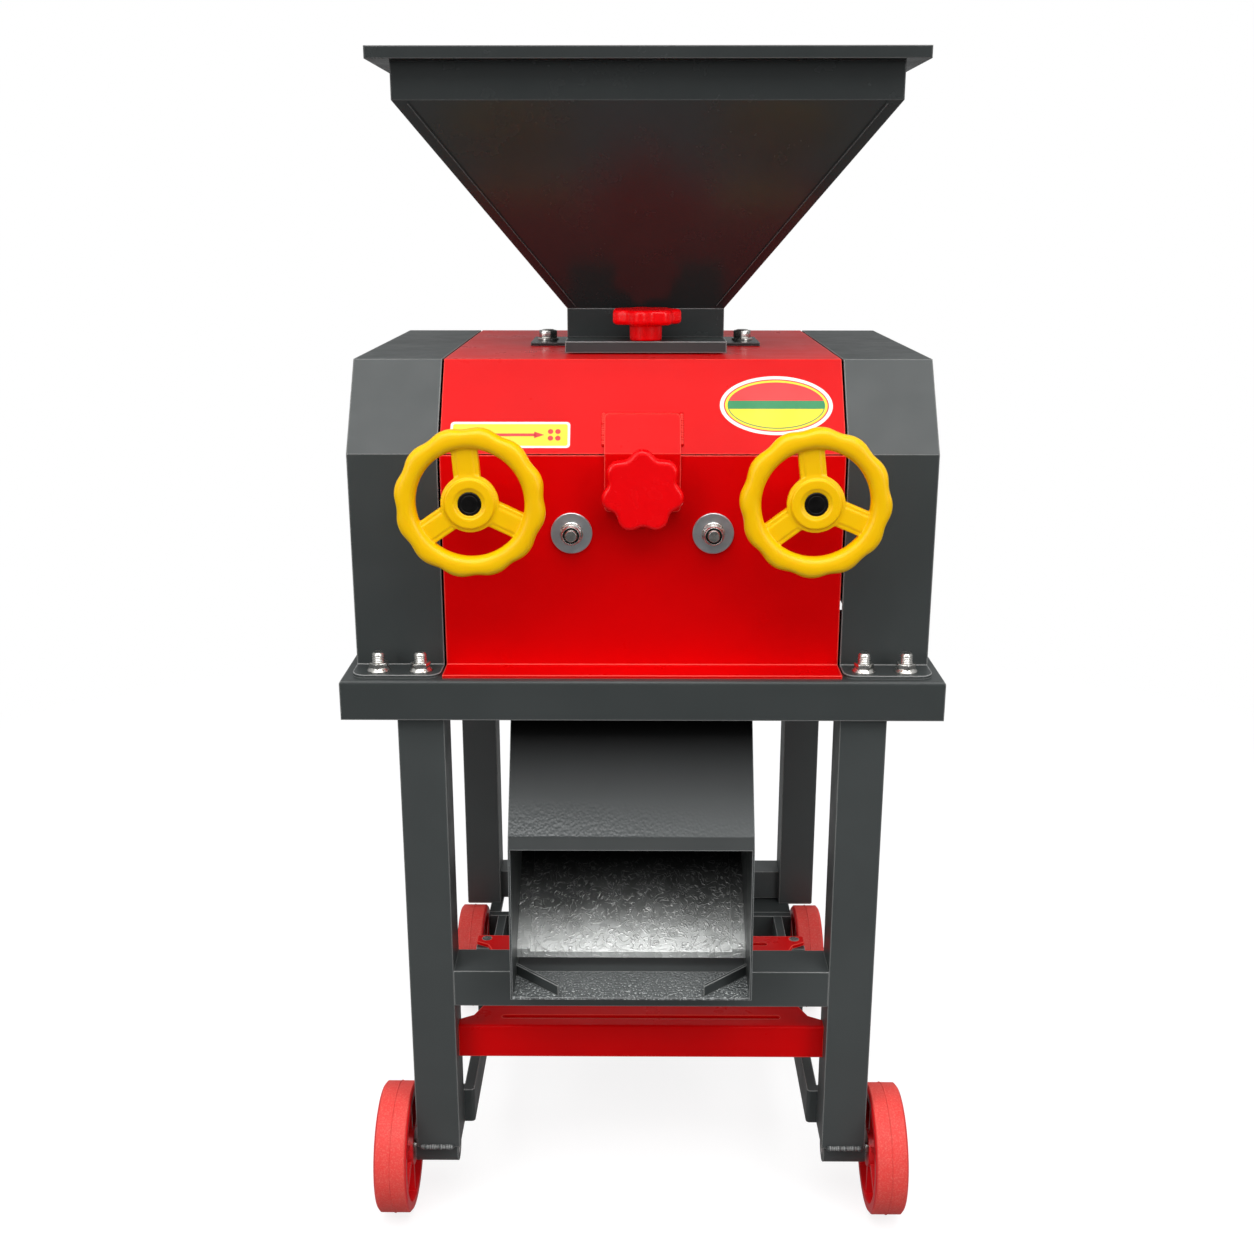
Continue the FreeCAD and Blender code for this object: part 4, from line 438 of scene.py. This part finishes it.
def melted(made, voxel, rounds):
    """Turns overlapping blocks into one smooth moulding."""
    skin = made.modifiers.new("one skin", "REMESH")
    skin.mode = "VOXEL"
    skin.voxel_size = voxel
    corners = made.modifiers.new("round corners", "SMOOTH")
    corners.factor = 0.5
    corners.iterations = rounds
    bpy.context.view_layer.update()
    graph = bpy.context.evaluated_depsgraph_get()
    mesh = bpy.data.meshes.new_from_object(made.evaluated_get(graph), depsgraph=graph)
    made.modifiers.clear()
    made.data = mesh
    mesh.shade_smooth()
    print(made.name, "melted to", len(mesh.polygons), "faces")


def moved(shape, matrix):
    bmesh.ops.transform(shape, matrix=matrix, verts=shape.verts)


def turned(outline, axis="Z", steps=48):
    """Spins an outline of (radius, height) points about an axis through the origin and closes it."""
    shape = bmesh.new()
    points = [shape.verts.new((radius * MM, 0, height * MM)) for radius, height in outline]
    edges = [shape.edges.new(pair) for pair in zip(points, points[1:])]
    bmesh.ops.spin(shape, geom=points + edges, cent=(0, 0, 0), axis=(0, 0, 1), angle=math.tau, steps=steps,
                   use_merge=True)
    bmesh.ops.remove_doubles(shape, verts=shape.verts, dist=0.001 * MM)
    if axis == "Y":
        moved(shape, Matrix.Rotation(math.radians(90), 4, "X"))
    return shape


def taper(low_radius, high_radius, low, high):
    """A round stem along Z, closed at both ends."""
    return turned([(0, low), (low_radius, low), (high_radius, high), (0, high)])


def thickened(flat, thickness):
    """Raises a flat drawing and gives back its new upper corners."""
    grown = bmesh.ops.extrude_face_region(flat, geom=flat.faces[:])["geom"]
    top = [part for part in grown if isinstance(part, bmesh.types.BMVert)]
    bmesh.ops.translate(flat, verts=top, vec=(0, 0, thickness * MM))
    return top


def facing(x, y, z, axis):
    """A matrix that stands a shape built along Z on a point, pointing along an axis."""
    turns = {"+Z": Matrix(), "-Y": Matrix.Rotation(math.radians(90), 4, "X"),
             "+Y": Matrix.Rotation(math.radians(-90), 4, "X")}
    return Matrix.Translation((x * MM, y * MM, z * MM)) @ turns[axis]


def joined(shapes):
    """One bmesh that holds copies of several."""
    whole = bmesh.new()
    for shape in shapes:
        mesh = bpy.data.meshes.new("part")
        bmesh.ops.recalc_face_normals(shape, faces=shape.faces)
        shape.to_mesh(mesh)
        shape.free()
        whole.from_mesh(mesh)
        bpy.data.meshes.remove(mesh)
    return whole


# %% [markdown]
# A handwheel is a moulding with a fat rim, flatter in front than a ring, twelve shallow scallops for the
# fingers, three spokes and a stepped hub. The rim's profile is a circle swollen towards a square and spun
# round the axis, and its outer side is pushed in between the twelve crests. Spokes are blocks with a raised
# rib, the hub is turned, and the melt gives the fillets where they meet. A wheel's face looks along -Y.

# %% Handwheels
RIM_OUTER = 61.0
RIM_HALF = 8.7
SQUARENESS = 2.7
CREST_COUNT = 12
CREST_DEPTH = 2.2
SPOKE_COUNT = 3
SPOKE_WIDTH = 21.0
SPOKE_INNER = 12.0
HUB_OUTER = 23.3
BOSS_OUTER = 19.8
HANDWHEEL_X = 138.0
HANDWHEEL_Y = -237.0
ROLLER_AXIS_Z = 695.0


def scalloped_rim(crest):
    rim = bmesh.new()
    profile = bmesh.ops.create_circle(rim, segments=24, radius=RIM_HALF * MM)["verts"]
    for vert in profile:
        across, along = abs(vert.co.x) / vert.co.length, abs(vert.co.y) / vert.co.length
        vert.co *= (across ** SQUARENESS + along ** SQUARENESS) ** (-1 / SQUARENESS)
    bmesh.ops.translate(rim, verts=profile, vec=((RIM_OUTER - RIM_HALF) * MM, 0, 0))
    bmesh.ops.spin(rim, geom=profile + rim.edges[:], cent=(0, 0, 0), axis=(0, 1, 0), angle=math.tau,
                   steps=180, use_merge=True)
    inner = (RIM_OUTER - 2 * RIM_HALF) * MM
    for vert in rim.verts:
        reach = math.hypot(vert.co.x, vert.co.z)
        angle = math.atan2(vert.co.z, vert.co.x)
        share = max(0.0, (reach - inner) / (2 * RIM_HALF * MM)) ** 2
        valley = (0.5 - 0.5 * math.cos(CREST_COUNT * (angle - crest))) ** 1.3
        scale = (reach - CREST_DEPTH * MM * share * valley) / reach
        vert.co.x *= scale
        vert.co.z *= scale
    return rim


def spoke_block(angle, width, depth, front, outer):
    block = bmesh.new()
    bmesh.ops.create_cube(block, size=1.0)
    size = Matrix.Diagonal(((outer - SPOKE_INNER) * MM, depth * MM, width * MM, 1))
    shift = Matrix.Translation(((SPOKE_INNER + outer) / 2 * MM, (front + depth / 2) * MM, 0))
    moved(block, Matrix.Rotation(-angle, 4, "Y") @ shift @ size)
    return block


def handwheel(side, centre_x, spoke_angle, crest_angle):
    parts = [scalloped_rim(math.radians(crest_angle))]
    for step in range(SPOKE_COUNT):
        angle = math.radians(spoke_angle) + step * math.tau / SPOKE_COUNT
        parts.append(spoke_block(angle, SPOKE_WIDTH, depth=8.0, front=-3.0, outer=RIM_OUTER - RIM_HALF - 3))
        # the rib on the spoke stands 0.7 mm proud
        parts.append(spoke_block(angle, SPOKE_WIDTH * 0.6, depth=2.0, front=-3.7,
                                 outer=RIM_OUTER - 2 * RIM_HALF + 4))
    hub = [(8.2, -15.6), (16, -15.6), (20, -5), (HUB_OUTER, -1), (HUB_OUTER, 3.8),
           (BOSS_OUTER + 0.6, 4.2), (BOSS_OUTER, 6.2), (12.6, 6.2), (12.2, 5.2), (10.2, 5.2), (10.0, 4.2),
           (8.2, 4.2), (8.2, -15.6)]
    parts.append(turned(hub, "Y"))
    whole = joined(parts)
    moved(whole, Matrix.Translation((centre_x * MM, HANDWHEEL_Y * MM, ROLLER_AXIS_Z * MM)))
    made = piece("handwheel_moulding_" + side, whole, yellow_moulding, "handwheel_" + side,
                 ["handwheel_" + side])
    melted(made, 0.7 * MM, 3)


handwheel("left", -HANDWHEEL_X, spoke_angle=94.5, crest_angle=19.0)
handwheel("right", HANDWHEEL_X, spoke_angle=97.0, crest_angle=27.0)

# %% [markdown]
# The star knobs have seven lobes that flow into each other without a corner. A circle is pushed in between
# the lobes, extruded for the thickness, and its rims are bevelled in several steps for the soft edge that a
# hand expects. Both knobs have the same outline in two sizes, so one function makes both.

# %% Star knobs
LOBE_COUNT = 7
LOBE_DEPTH = 0.155
KNOB_THICKNESS = 13.0


def star_head(radius, first_lobe):
    head = bmesh.new()
    rim = bmesh.ops.create_circle(head, segments=140, radius=radius * MM, cap_ends=True)["verts"]
    for vert in rim:
        angle = math.atan2(vert.co.y, vert.co.x)
        valley = (0.5 - 0.5 * math.cos(LOBE_COUNT * (angle - first_lobe))) ** 1.25
        vert.co *= 1 - LOBE_DEPTH * valley
    thickened(head, KNOB_THICKNESS)
    rims = [edge for edge in head.edges if abs(edge.verts[0].co.z - edge.verts[1].co.z) < 0.01 * MM]
    bmesh.ops.bevel(head, geom=rims, offset=3.4 * MM, segments=5, profile=0.5, affect="EDGES", material=-1)
    return head


def star_knob(node, radius, first_lobe, stems, stand, rounds):
    whole = joined([star_head(radius, math.radians(first_lobe))] + stems)
    moved(whole, stand)
    made = piece(node + "_moulding", whole, red_moulding, node, [node])
    melted(made, 0.8 * MM, rounds)


star_knob("latch_knob", 34.8, 91.0, [taper(12.4, 13.6, -9, 2)], facing(0, -190.2, 697, "-Y"), rounds=3)
# the gate's knob has its clamping screw under the stem
star_knob("gate_knob", 31.5, 103.0, [taper(14.2, 14.6, -14.2, 2), taper(5, 5, -25, -13)],
          facing(3, -61, 823, "+Z"), rounds=2)

# %% [markdown]
# The bolts are what a buyer looks at to judge a machine, so each kind is built from its real parts: a stud
# with thread ridges, a flange nut with six flats and chamfered corners, a locking nut with its dark ring.
# Threads are rings spun from a zigzag, which at this size looks the same as a helix.

# %% Fastener parts


def threaded(radius, start, end, pitch=1.5):
    """A stud along Z with ridges and a chamfered top."""
    depth = pitch * 0.4
    outline = [(0, start)]
    height = start
    while height + pitch < end - 1:
        outline.append((radius - depth, height))
        outline.append((radius, height + pitch / 2))
        height += pitch
    outline += [(radius - depth, end - 1), (radius - 1.4, end), (0, end)]
    return turned(outline, steps=24)


def hex_prism(across, start, end):
    """A six-sided nut or head along Z whose upper corners are turned off."""
    nut = bmesh.new()
    bmesh.ops.create_circle(nut, segments=6, radius=across / math.sqrt(3) * MM, cap_ends=True)
    top = thickened(nut, end - start)
    bmesh.ops.bevel(nut, geom=top, offset=across * 0.09 * MM, segments=3, profile=0.5, affect="VERTICES",
                    material=-1)
    rims = [edge for edge in nut.edges if edge.calc_face_angle(0) > 1.0 or len(edge.link_faces) < 2]
    bmesh.ops.bevel(nut, geom=rims, offset=0.35 * MM, segments=2, profile=0.5, affect="EDGES", material=-1)
    moved(nut, Matrix.Translation((0, 0, start * MM)))
    return nut


def disc(radius, start, end, edge):
    return turned([(0, start), (radius, start), (radius, end - edge), (radius - edge, end), (0, end)])


# %% [markdown]
# Eight studs with flange nuts hold the side covers to the table, four of them in full view in front. They
# stand on the cover's foot, 540 mm up. Each nut is turned by its own angle, because nobody lines them up.

# %% Cover bolts
COVER_FOOT_Z = 540.0


def cover_bolt(x, y, turn):
    # the stud starts at the table, 3 mm below the foot's top face
    stud = threaded(5.6, -3.0, 16.6)
    flange = disc(10.0, 0.0, 1.6, 0.7)
    skirt = taper(9.6, 8.0, 1.4, 3.4)
    nut = hex_prism(15.0, 3.0, 7.8)
    moved(nut, Matrix.Rotation(turn, 4, "Z"))
    whole = joined([stud, flange, skirt, nut])
    moved(whole, facing(x, y, COVER_FOOT_Z, "+Z"))
    return whole


bolts = []
for x in (-226, -190, 190, 226):
    for y in (-191.5, 269.5):
        bolts.append(cover_bolt(x, y, 0.35 * len(bolts)))
piece("cover_bolt_set", joined(bolts), plated, "stand", ["cover_bolts"])
print("cover bolts:", len(bolts))

# %% [markdown]
# Two locking nuts on wide washers show on the front panel, and two on the back. The washer is pale and
# slightly dished by the clamping, the nut has a flange and a round collar that holds a dark locking ring,
# and the bolt ends just past it. Its other nut clamps from inside the housing.

# %% Scraper bolts and their washers
PANEL_FACES = ((-174.0, "-Y"), (252.0, "+Y"))
SCRAPER_X = 60
SCRAPER_Z = 657.0
WASHER_THICKNESS = 2.4


def locking_nut():
    hexed = hex_prism(16.4, 0.0, 7.0)
    flange = disc(9.9, 0.0, 1.6, 0.6)
    collar = turned([(6.6, 6.0), (8.2, 6.0), (8.0, 10.2), (7.4, 11.0), (6.8, 11.0), (6.6, 10.4), (6.6, 6.0)])
    return [hexed, flange, collar]


def scraper_side(x, face, axis):
    """The washer, the nuts with their bolt, and the locking ring at one panel."""
    on_panel = facing(x, face, SCRAPER_Z, axis)
    on_washer = on_panel @ Matrix.Translation((0, 0, WASHER_THICKNESS * MM))
    washer = turned([(6.0, 0), (17.6, 0), (17.6, 1.9), (17.1, WASHER_THICKNESS), (6.0, 2.2), (6.0, 0)])
    bolt = threaded(6.0, -12.0, 12.6, 1.75)
    inner_nut = hex_prism(18.6, -12.0, -6.0)
    nuts = joined(locking_nut() + [bolt, inner_nut])
    ring = turned([(5.9, 9.0), (6.9, 9.0), (6.9, 10.8), (5.9, 10.8), (5.9, 9.0)])
    moved(washer, on_panel)
    moved(nuts, on_washer)
    moved(ring, on_washer)
    return washer, nuts, ring


bolt_ends = [scraper_side(x, face, axis) for x in (-SCRAPER_X, SCRAPER_X) for face, axis in PANEL_FACES]
washers, nuts, rings = zip(*bolt_ends)
piece("fender_washer_set", joined(washers), washer_zinc, "stand", ["fender_washers"])
piece("scraper_bolt_set", joined(nuts), plated, "stand", ["scraper_bolts"])
piece("locking_rings", joined(rings), black_oxide, "stand")
print("scraper bolts:", len(bolt_ends))

# %% [markdown]
# Two hexagon bolts hold the hopper's neck on the hood. Each head has a domed top and stands on a washer,
# and its nut is under the hood, where it shows once the hood is up.

# %% Hopper bolts
NECK_EAR_Z = 800.5
HOPPER_BOLT_Y = 43.0


def hopper_bolt(x, turn):
    washer = disc(10.0, 0.0, 2.0, 0.6)
    head = hex_prism(15.6, 2.0, 9.0)
    moved(head, Matrix.Rotation(turn, 4, "Z"))
    dome = turned([(0, 2.2), (6.2, 2.2), (5.2, 3.0), (0, 3.2)])
    moved(dome, Matrix.Translation((0, 0, 6.8 * MM)))
    shank = threaded(5.0, -6.0, 2.0)
    nut = hex_prism(15.6, -13.4, -6.1)
    whole = joined([washer, head, dome, shank, nut])
    moved(whole, facing(x, HOPPER_BOLT_Y, NECK_EAR_Z, "+Z"))
    return whole


hopper_bolts = [hopper_bolt(-90.5, 0.3), hopper_bolt(96.5, 0.85)]
print("hopper bolts:", len(hopper_bolts))
piece("hopper_bolt_set", joined(hopper_bolts), plated, "hood", ["hopper_bolts"])

# %% [markdown]
# The end of each adjusting screw sits in the hub as a black cap, a little below the boss, with a fine ring
# pressed into it. It is a turned piece with a shallow groove, and rides with its handwheel.

# %% Black caps in the hubs
HUB_CAP_Y = -241.2


def hub_cap(side, x):
    cap = turned([(0, 0), (9.4, 0), (9.4, 0.6), (8.9, 1.0), (7.4, 1.0), (7.0, 0.6), (6.6, 1.0), (0, 1.1)])
    moved(cap, facing(x, HUB_CAP_Y, ROLLER_AXIS_Z, "-Y"))
    piece("hub_cap_" + side, cap, black_oxide, "handwheel_" + side)


hub_cap("left", -HANDWHEEL_X)
hub_cap("right", HANDWHEEL_X)
print("hub caps at", HUB_CAP_Y, "mm")

# %% [markdown]
# Two printed labels are stuck on the hood's front slope. The long one shows the gap setting from fine to
# coarse as small and large dots with an arrow both ways, and the oval one has rings and bands of colour. A
# label is thin vinyl, so each colour is a very thin plate over the one below, built flat and then laid on
# the slope.

# %% Label helpers
SLOPE_START = Vector((0, -174.0, 724.0)) * MM
SLOPE_UP = Vector((0, 53.0, 73.5)).normalized()
SLOPE_OUT = Vector((0, -73.5, 53.0)).normalized()


def on_slope(x, climb, lift):
    """Lays a flat XY drawing on the slope: its X along the machine, its Y up the slope."""
    start = SLOPE_START + Vector((x * MM, 0, 0)) + SLOPE_UP * climb * MM + SLOPE_OUT * lift * MM
    turn = Matrix((Vector((1, 0, 0)), SLOPE_UP, SLOPE_OUT)).transposed().to_4x4()
    return Matrix.Translation(start) @ turn


def ink(name, colour, dull):
    made, tree, surface = start_finish(name, specular=0.4)
    tree.links.new(mixed(tree, noise(tree, 160.0, 3.0), colour, dull), surface.inputs["Base Color"])
    uneven_gloss(tree, surface, noise(tree, 45.0, 3.0), (0.30, 0.42))
    bump(tree, surface, noise(tree, 240.0, 2.0), 0.04, 0.2 * MM)
    return made


white_vinyl = ink("white vinyl", (0.86, 0.86, 0.84), (0.78, 0.78, 0.76))
yellow_ink = ink("yellow ink", (0.95, 0.72, 0.01), (0.90, 0.66, 0.01))
red_ink = ink("red ink", (0.72, 0.012, 0.012), (0.62, 0.010, 0.012))
green_ink = ink("green ink", (0.0, 0.25, 0.07), (0.0, 0.20, 0.06))


def rounded_plate(width, height, corner, thickness):
    flat = bmesh.new()
    bmesh.ops.create_grid(flat, x_segments=1, y_segments=1, size=0.5)
    moved(flat, Matrix.Diagonal((width * MM, height * MM, 1, 1)))
    bmesh.ops.bevel(flat, geom=flat.verts[:], offset=corner * MM, segments=6, profile=0.5,
                    affect="VERTICES", material=-1)
    thickened(flat, thickness)
    return flat


def oval_plate(half_width, half_height, thickness, low=-1.0, high=1.0):
    """An oval, or the band of it between two shares of its height."""
    flat = bmesh.new()
    bmesh.ops.create_circle(flat, segments=96, radius=1.0, cap_ends=True)
    for share, side in ((low, 1), (high, -1)):
        if abs(share) < 1.0:
            bmesh.ops.bisect_plane(flat, geom=flat.verts[:] + flat.edges[:] + flat.faces[:],
                                   plane_co=(0, share, 0), plane_no=(0, side, 0), clear_inner=True)
    moved(flat, Matrix.Diagonal((half_width * MM, half_height * MM, 1, 1)))
    thickened(flat, thickness)
    return flat


print("inks:", white_vinyl.name, yellow_ink.name, red_ink.name, green_ink.name)

# %% [markdown]
# The long label is 101 by 24 mm. Its arrow is a bar with two triangular heads, each a three-sided circle.

# %% The fine-to-coarse label
VINYL = 0.12
INK = 0.06
DOT_PITCH = 3.1
FINE_DOTS = (-38, (-1, 0, 1), 0.8)
COARSE_DOTS = (37, (-1, 1), 2.3)


def arrow_head(x, turn):
    flat = bmesh.new()
    bmesh.ops.create_circle(flat, segments=3, radius=1.0, cap_ends=True)
    moved(flat, Matrix.Translation((x * MM, 0, 0)) @ Matrix.Rotation(turn, 4, "Z")
          @ Matrix.Diagonal((5.6 * MM, 3.6 * MM, 1, 1)) @ Matrix.Rotation(math.radians(-90), 4, "Z"))
    thickened(flat, INK)
    return flat


def dot(x, y, radius):
    flat = bmesh.new()
    bmesh.ops.create_circle(flat, segments=20, radius=radius * MM, cap_ends=True)
    moved(flat, Matrix.Translation((x * MM, y * MM, 0)))
    thickened(flat, INK)
    return flat


def setting_label():
    centre = (-111.2, 18.0)
    border = rounded_plate(100.8, 24.4, 3.2, VINYL)
    moved(border, on_slope(*centre, 0.02))
    piece("setting_label_border", border, white_vinyl, "hood")
    field = rounded_plate(96.6, 20.4, 2.0, INK)
    moved(field, on_slope(*centre, 0.14))
    piece("setting_label_field", field, yellow_ink, "hood")
    marks = [rounded_plate(44, 2.6, 0.2, INK), arrow_head(-23, math.radians(180)), arrow_head(23, 0)]
    for middle, places, radius in (FINE_DOTS, COARSE_DOTS):
        for row in places:
            for column in places:
                marks.append(dot(middle + DOT_PITCH * column, DOT_PITCH * row, radius))
    print("marks on the long label:", len(marks))
    whole = joined(marks)
    moved(whole, on_slope(*centre, 0.20))
    piece("setting_label_marks", whole, red_ink, "hood")


setting_label()

# %% [markdown]
# The oval label is 95 by 56 mm: a white rim, thin red and yellow rings, and three bands inside, the lowest
# with a fine green edge.

# %% The oval label
THIN_INK = 0.05
INNER = (41.2, 22.0)
BAND_LOW, BAND_HIGH = -0.16, 0.20


def oval_label():
    centre = (113.0, 46.0)
    layers = [
        ("rim", oval_plate(47.7, 28.0, VINYL), 0.02, white_vinyl),
        ("red_ring", oval_plate(44.4, 25.0, THIN_INK), 0.14, red_ink),
        ("yellow_ring", oval_plate(43.3, 23.9, THIN_INK), 0.19, yellow_ink),
        ("inner_red", oval_plate(*INNER, THIN_INK, low=BAND_HIGH), 0.24, red_ink),
        ("green_band", oval_plate(*INNER, THIN_INK, BAND_LOW, BAND_HIGH), 0.24, green_ink),
        ("green_line", oval_plate(*INNER, THIN_INK, high=BAND_LOW), 0.24, green_ink),
        ("yellow_foot", oval_plate(40.4, 21.2, THIN_INK, high=BAND_LOW), 0.29, yellow_ink),
    ]
    for name, plate, lift, finish in layers:
        moved(plate, on_slope(*centre, lift))
        piece("oval_label_" + name, plate, finish, "hood")
    print("layers on the oval label:", len(layers))


oval_label()

# %% [markdown]
# The latch strap and the axle sleeves are welded by hand, and the beads show through the paint as a row of
# small overlapping ripples. Each ripple is a low squashed ball, and its size and place wander a little, so
# the bead doesn't look printed.

# %% Weld beads
STRAP_EDGE_X = 32.8


def wander(index, seed):
    """A repeatable number between -1 and 1."""
    return math.sin(index * 12.9898 + seed * 78.233) * math.cos(index * 4.1414 + seed)


def weld_bead(start, end, width, height, seed):
    start = Vector(start)
    end = Vector(end)
    count = max(3, int((end - start).length / (width * 0.42)))
    ripples = []
    for index in range(count + 1):
        ball = bmesh.new()
        bmesh.ops.create_icosphere(ball, subdivisions=2, radius=0.5)
        size = 1 + 0.22 * wander(index, seed)
        drift = Vector((wander(index, seed + 2), 0, wander(index, seed + 5))) * 0.2
        middle = start.lerp(end, index / count) + drift
        moved(ball, Matrix.Translation(middle * MM)
              @ Matrix.Diagonal((width * size * MM, height * size * MM, width * size * MM, 1)))
        ripples.append(ball)
    return joined(ripples)


def slope_point(x, climb):
    point = SLOPE_START + SLOPE_UP * climb * MM
    return (x, point.y / MM, point.z / MM)


strap_beads = []
for x, seed in ((-STRAP_EDGE_X, 1), (STRAP_EDGE_X, 2)):
    strap_beads.append(weld_bead(slope_point(x, 9.0), slope_point(x, 37.5), 3.6, 4.0, seed))
piece("strap_weld_beads", joined(strap_beads), red_coat, "hood", sharp=60)

leg_beads = []
for side, seed in ((-1, 3), (1, 4)):
    # one bead in front of the sleeve and one behind it, from the inner to the outer side of the leg
    front = [(side * x, -204.5, 73.5) for x in (177, 206)]
    behind = [(side * x, -170.5, 71.8) for x in (176, 207)]
    leg_beads.append(weld_bead(*front, 4.6, 6.0, seed))
    leg_beads.append(weld_bead(*behind, 4.6, 6.0, seed + 7))
piece("sleeve_weld_beads", joined(leg_beads), stand_coat, "stand", sharp=60)
print("weld beads: two on the strap, four at the front legs")

# %% [markdown]
# The hopper is made of four sheets, and each front corner has a thin seam where one sheet laps the next,
# about eight millimetres in from the edge. It is a fine raised line that only shows by its glint, a slim
# rod half sunk in the sheet.

# %% Hopper seams
HOPPER_X = 3
SEAM_TOP_X, SEAM_FOOT_X = 190, 64


def seam(start, end, radius):
    rod = bmesh.new()
    line = (Vector(end) - Vector(start)) * MM
    bmesh.ops.create_cone(rod, cap_ends=True, segments=10, radius1=radius * MM, radius2=radius * MM,
                          depth=line.length)
    turn = line.to_track_quat("Z", "Y").to_matrix().to_4x4()
    moved(rod, Matrix.Translation(Vector(start) * MM + line / 2) @ turn)
    return rod


seams = []
for side in (-1, 1):
    top = (HOPPER_X + side * SEAM_TOP_X, -160.1, 1000.5)
    foot = (HOPPER_X + side * SEAM_FOOT_X, -31.2, 836.5)
    seams.append(seam(top, foot, 0.45))
print("hopper seams:", len(seams))
piece("hopper_seams", joined(seams), hopper_coat, "hood")

# %% [markdown]
# The stage is a plain floor and soft light. The photograph's background is pure white, so the world shows
# white to the camera, while it lights the machine at a plain level. Shiny parts mirror a room that is
# bright overhead and dark near the ground. The floor bounces little light, takes the machine's soft shadow,
# and is white to the camera only; it fades to plain white further out, so that no horizon shows.

# %% Floor and world


def seen_share(tree, mirrored):
    """1 for rays from the camera or through glass, and a share or socket for mirrored ones."""
    rays = add(tree, "ShaderNodeLightPath").outputs
    by_mirror = maths(tree, "MULTIPLY", rays["Is Glossy Ray"], mirrored)
    seen = maths(tree, "MAXIMUM", rays["Is Camera Ray"], by_mirror)
    return maths(tree, "MAXIMUM", seen, rays["Is Transmission Ray"])


def pale_floor():
    flat = bmesh.new()
    bmesh.ops.create_grid(flat, x_segments=1, y_segments=1, size=6.0)
    mesh = bpy.data.meshes.new("floor")
    flat.to_mesh(mesh)
    flat.free()
    made, tree, surface = start_finish("pale floor", roughness=0.9, specular=0.0)
    away = add(tree, "ShaderNodeVectorMath", {0: place(tree), 1: (0, 0, 0)}, operation="DISTANCE")
    far = spread(tree, away.outputs["Value"], 0.5, 1.7, 0, 1)
    tree.links.new(mixed(tree, far, (0.28, 0.28, 0.28), (0, 0, 0)), surface.inputs["Base Color"])
    surface.inputs["Emission Color"].default_value = (1, 1, 1, 1)
    white = maths(tree, "MULTIPLY", seen_share(tree, 0.10), spread(tree, far, 0, 1, 0.80, 1.0))
    tree.links.new(white, surface.inputs["Emission Strength"])
    mesh.materials.append(made)
    thing = bpy.data.objects.new("floor", mesh)
    bpy.context.scene.collection.objects.link(thing)


def studio_world():
    world = bpy.data.worlds.new("studio")
    bpy.context.scene.world = world
    world.use_nodes = True
    tree = world.node_tree
    tree.nodes.clear()
    direction = add(tree, "ShaderNodeTexCoord").outputs["Generated"]
    height = add(tree, "ShaderNodeSeparateXYZ", {0: direction}).outputs["Z"]
    seen = seen_share(tree, spread(tree, height, 0.15, 0.75, 0.03, 0.6))
    light = add(tree, "ShaderNodeBackground", {"Color": (0.97, 0.99, 1.0, 1), "Strength": 0.26})
    white = add(tree, "ShaderNodeBackground", {"Color": (1, 1, 1, 1), "Strength": 1.0})
    chosen = add(tree, "ShaderNodeMixShader", {0: seen, 1: light.outputs[0], 2: white.outputs[0]})
    out = add(tree, "ShaderNodeOutputWorld")
    tree.links.new(chosen.outputs[0], out.inputs["Surface"])


pale_floor()
studio_world()

# %% [markdown]
# One large soft box hangs above and in front. The hood's slope mirrors it to the camera and turns bright,
# while the upright panel below sees only the dim room and stays deep red. Two weaker boxes in front open up
# the covers and legs, and three more at the sides and behind keep the other faces readable. Those three
# aren't mirrored, so they leave no bright patches on the glossy tops.

# %% Soft boxes


def soft_box(name, where, aim, size, watts, mirrored=True):
    lamp = bpy.data.lights.new(name, "AREA")
    lamp.shape = "RECTANGLE"
    lamp.size, lamp.size_y = size
    lamp.energy = watts
    made = bpy.data.objects.new(name, lamp)
    made.location = where
    made.rotation_euler = (Vector(aim) - Vector(where)).to_track_quat("-Z", "Y").to_euler()
    made.visible_glossy = mirrored
    bpy.context.scene.collection.objects.link(made)


soft_box("over_front", (0.0, -1.25, 2.75), (0, -0.1, 0.7), (3.2, 1.8), 66)
soft_box("front_left", (-2.0, -2.2, 1.5), (0, 0, 0.6), (1.2, 1.6), 22)
soft_box("front_right", (2.0, -2.2, 1.5), (0, 0, 0.6), (1.2, 1.6), 22)
soft_box("side_left", (-2.9, 0.5, 1.3), (0, 0, 0.6), (1.6, 1.6), 20, False)
soft_box("side_right", (2.9, 0.5, 1.3), (0, 0, 0.6), (1.6, 1.6), 20, False)
soft_box("behind", (0.0, 2.9, 1.9), (0, 0, 0.6), (2.4, 1.4), 34, False)
print("soft boxes: one above, two in front, one on each side, one behind")

# %% [markdown]
# The camera stands where the photographer stood: a little above the hopper's neck, 1.36 m in front of the
# machine's middle, looking down 16 degrees. These values were fitted to the edges of the table, the legs,
# the covers, the hopper and the chute.

# %% Camera
lens = bpy.data.cameras.new("camera")
lens.sensor_width = 36.0
lens.lens = 41.0
camera = bpy.data.objects.new("camera", lens)
camera.location = (-0.00507, -1.35965, 0.91537)
camera.rotation_euler = (math.radians(90 - 16.06), 0.0, 0.0067)
bpy.context.scene.collection.objects.link(camera)
bpy.context.scene.camera = camera
bpy.context.scene.view_settings.view_transform = "Standard"
print("camera at", tuple(round(value, 3) for value in camera.location))
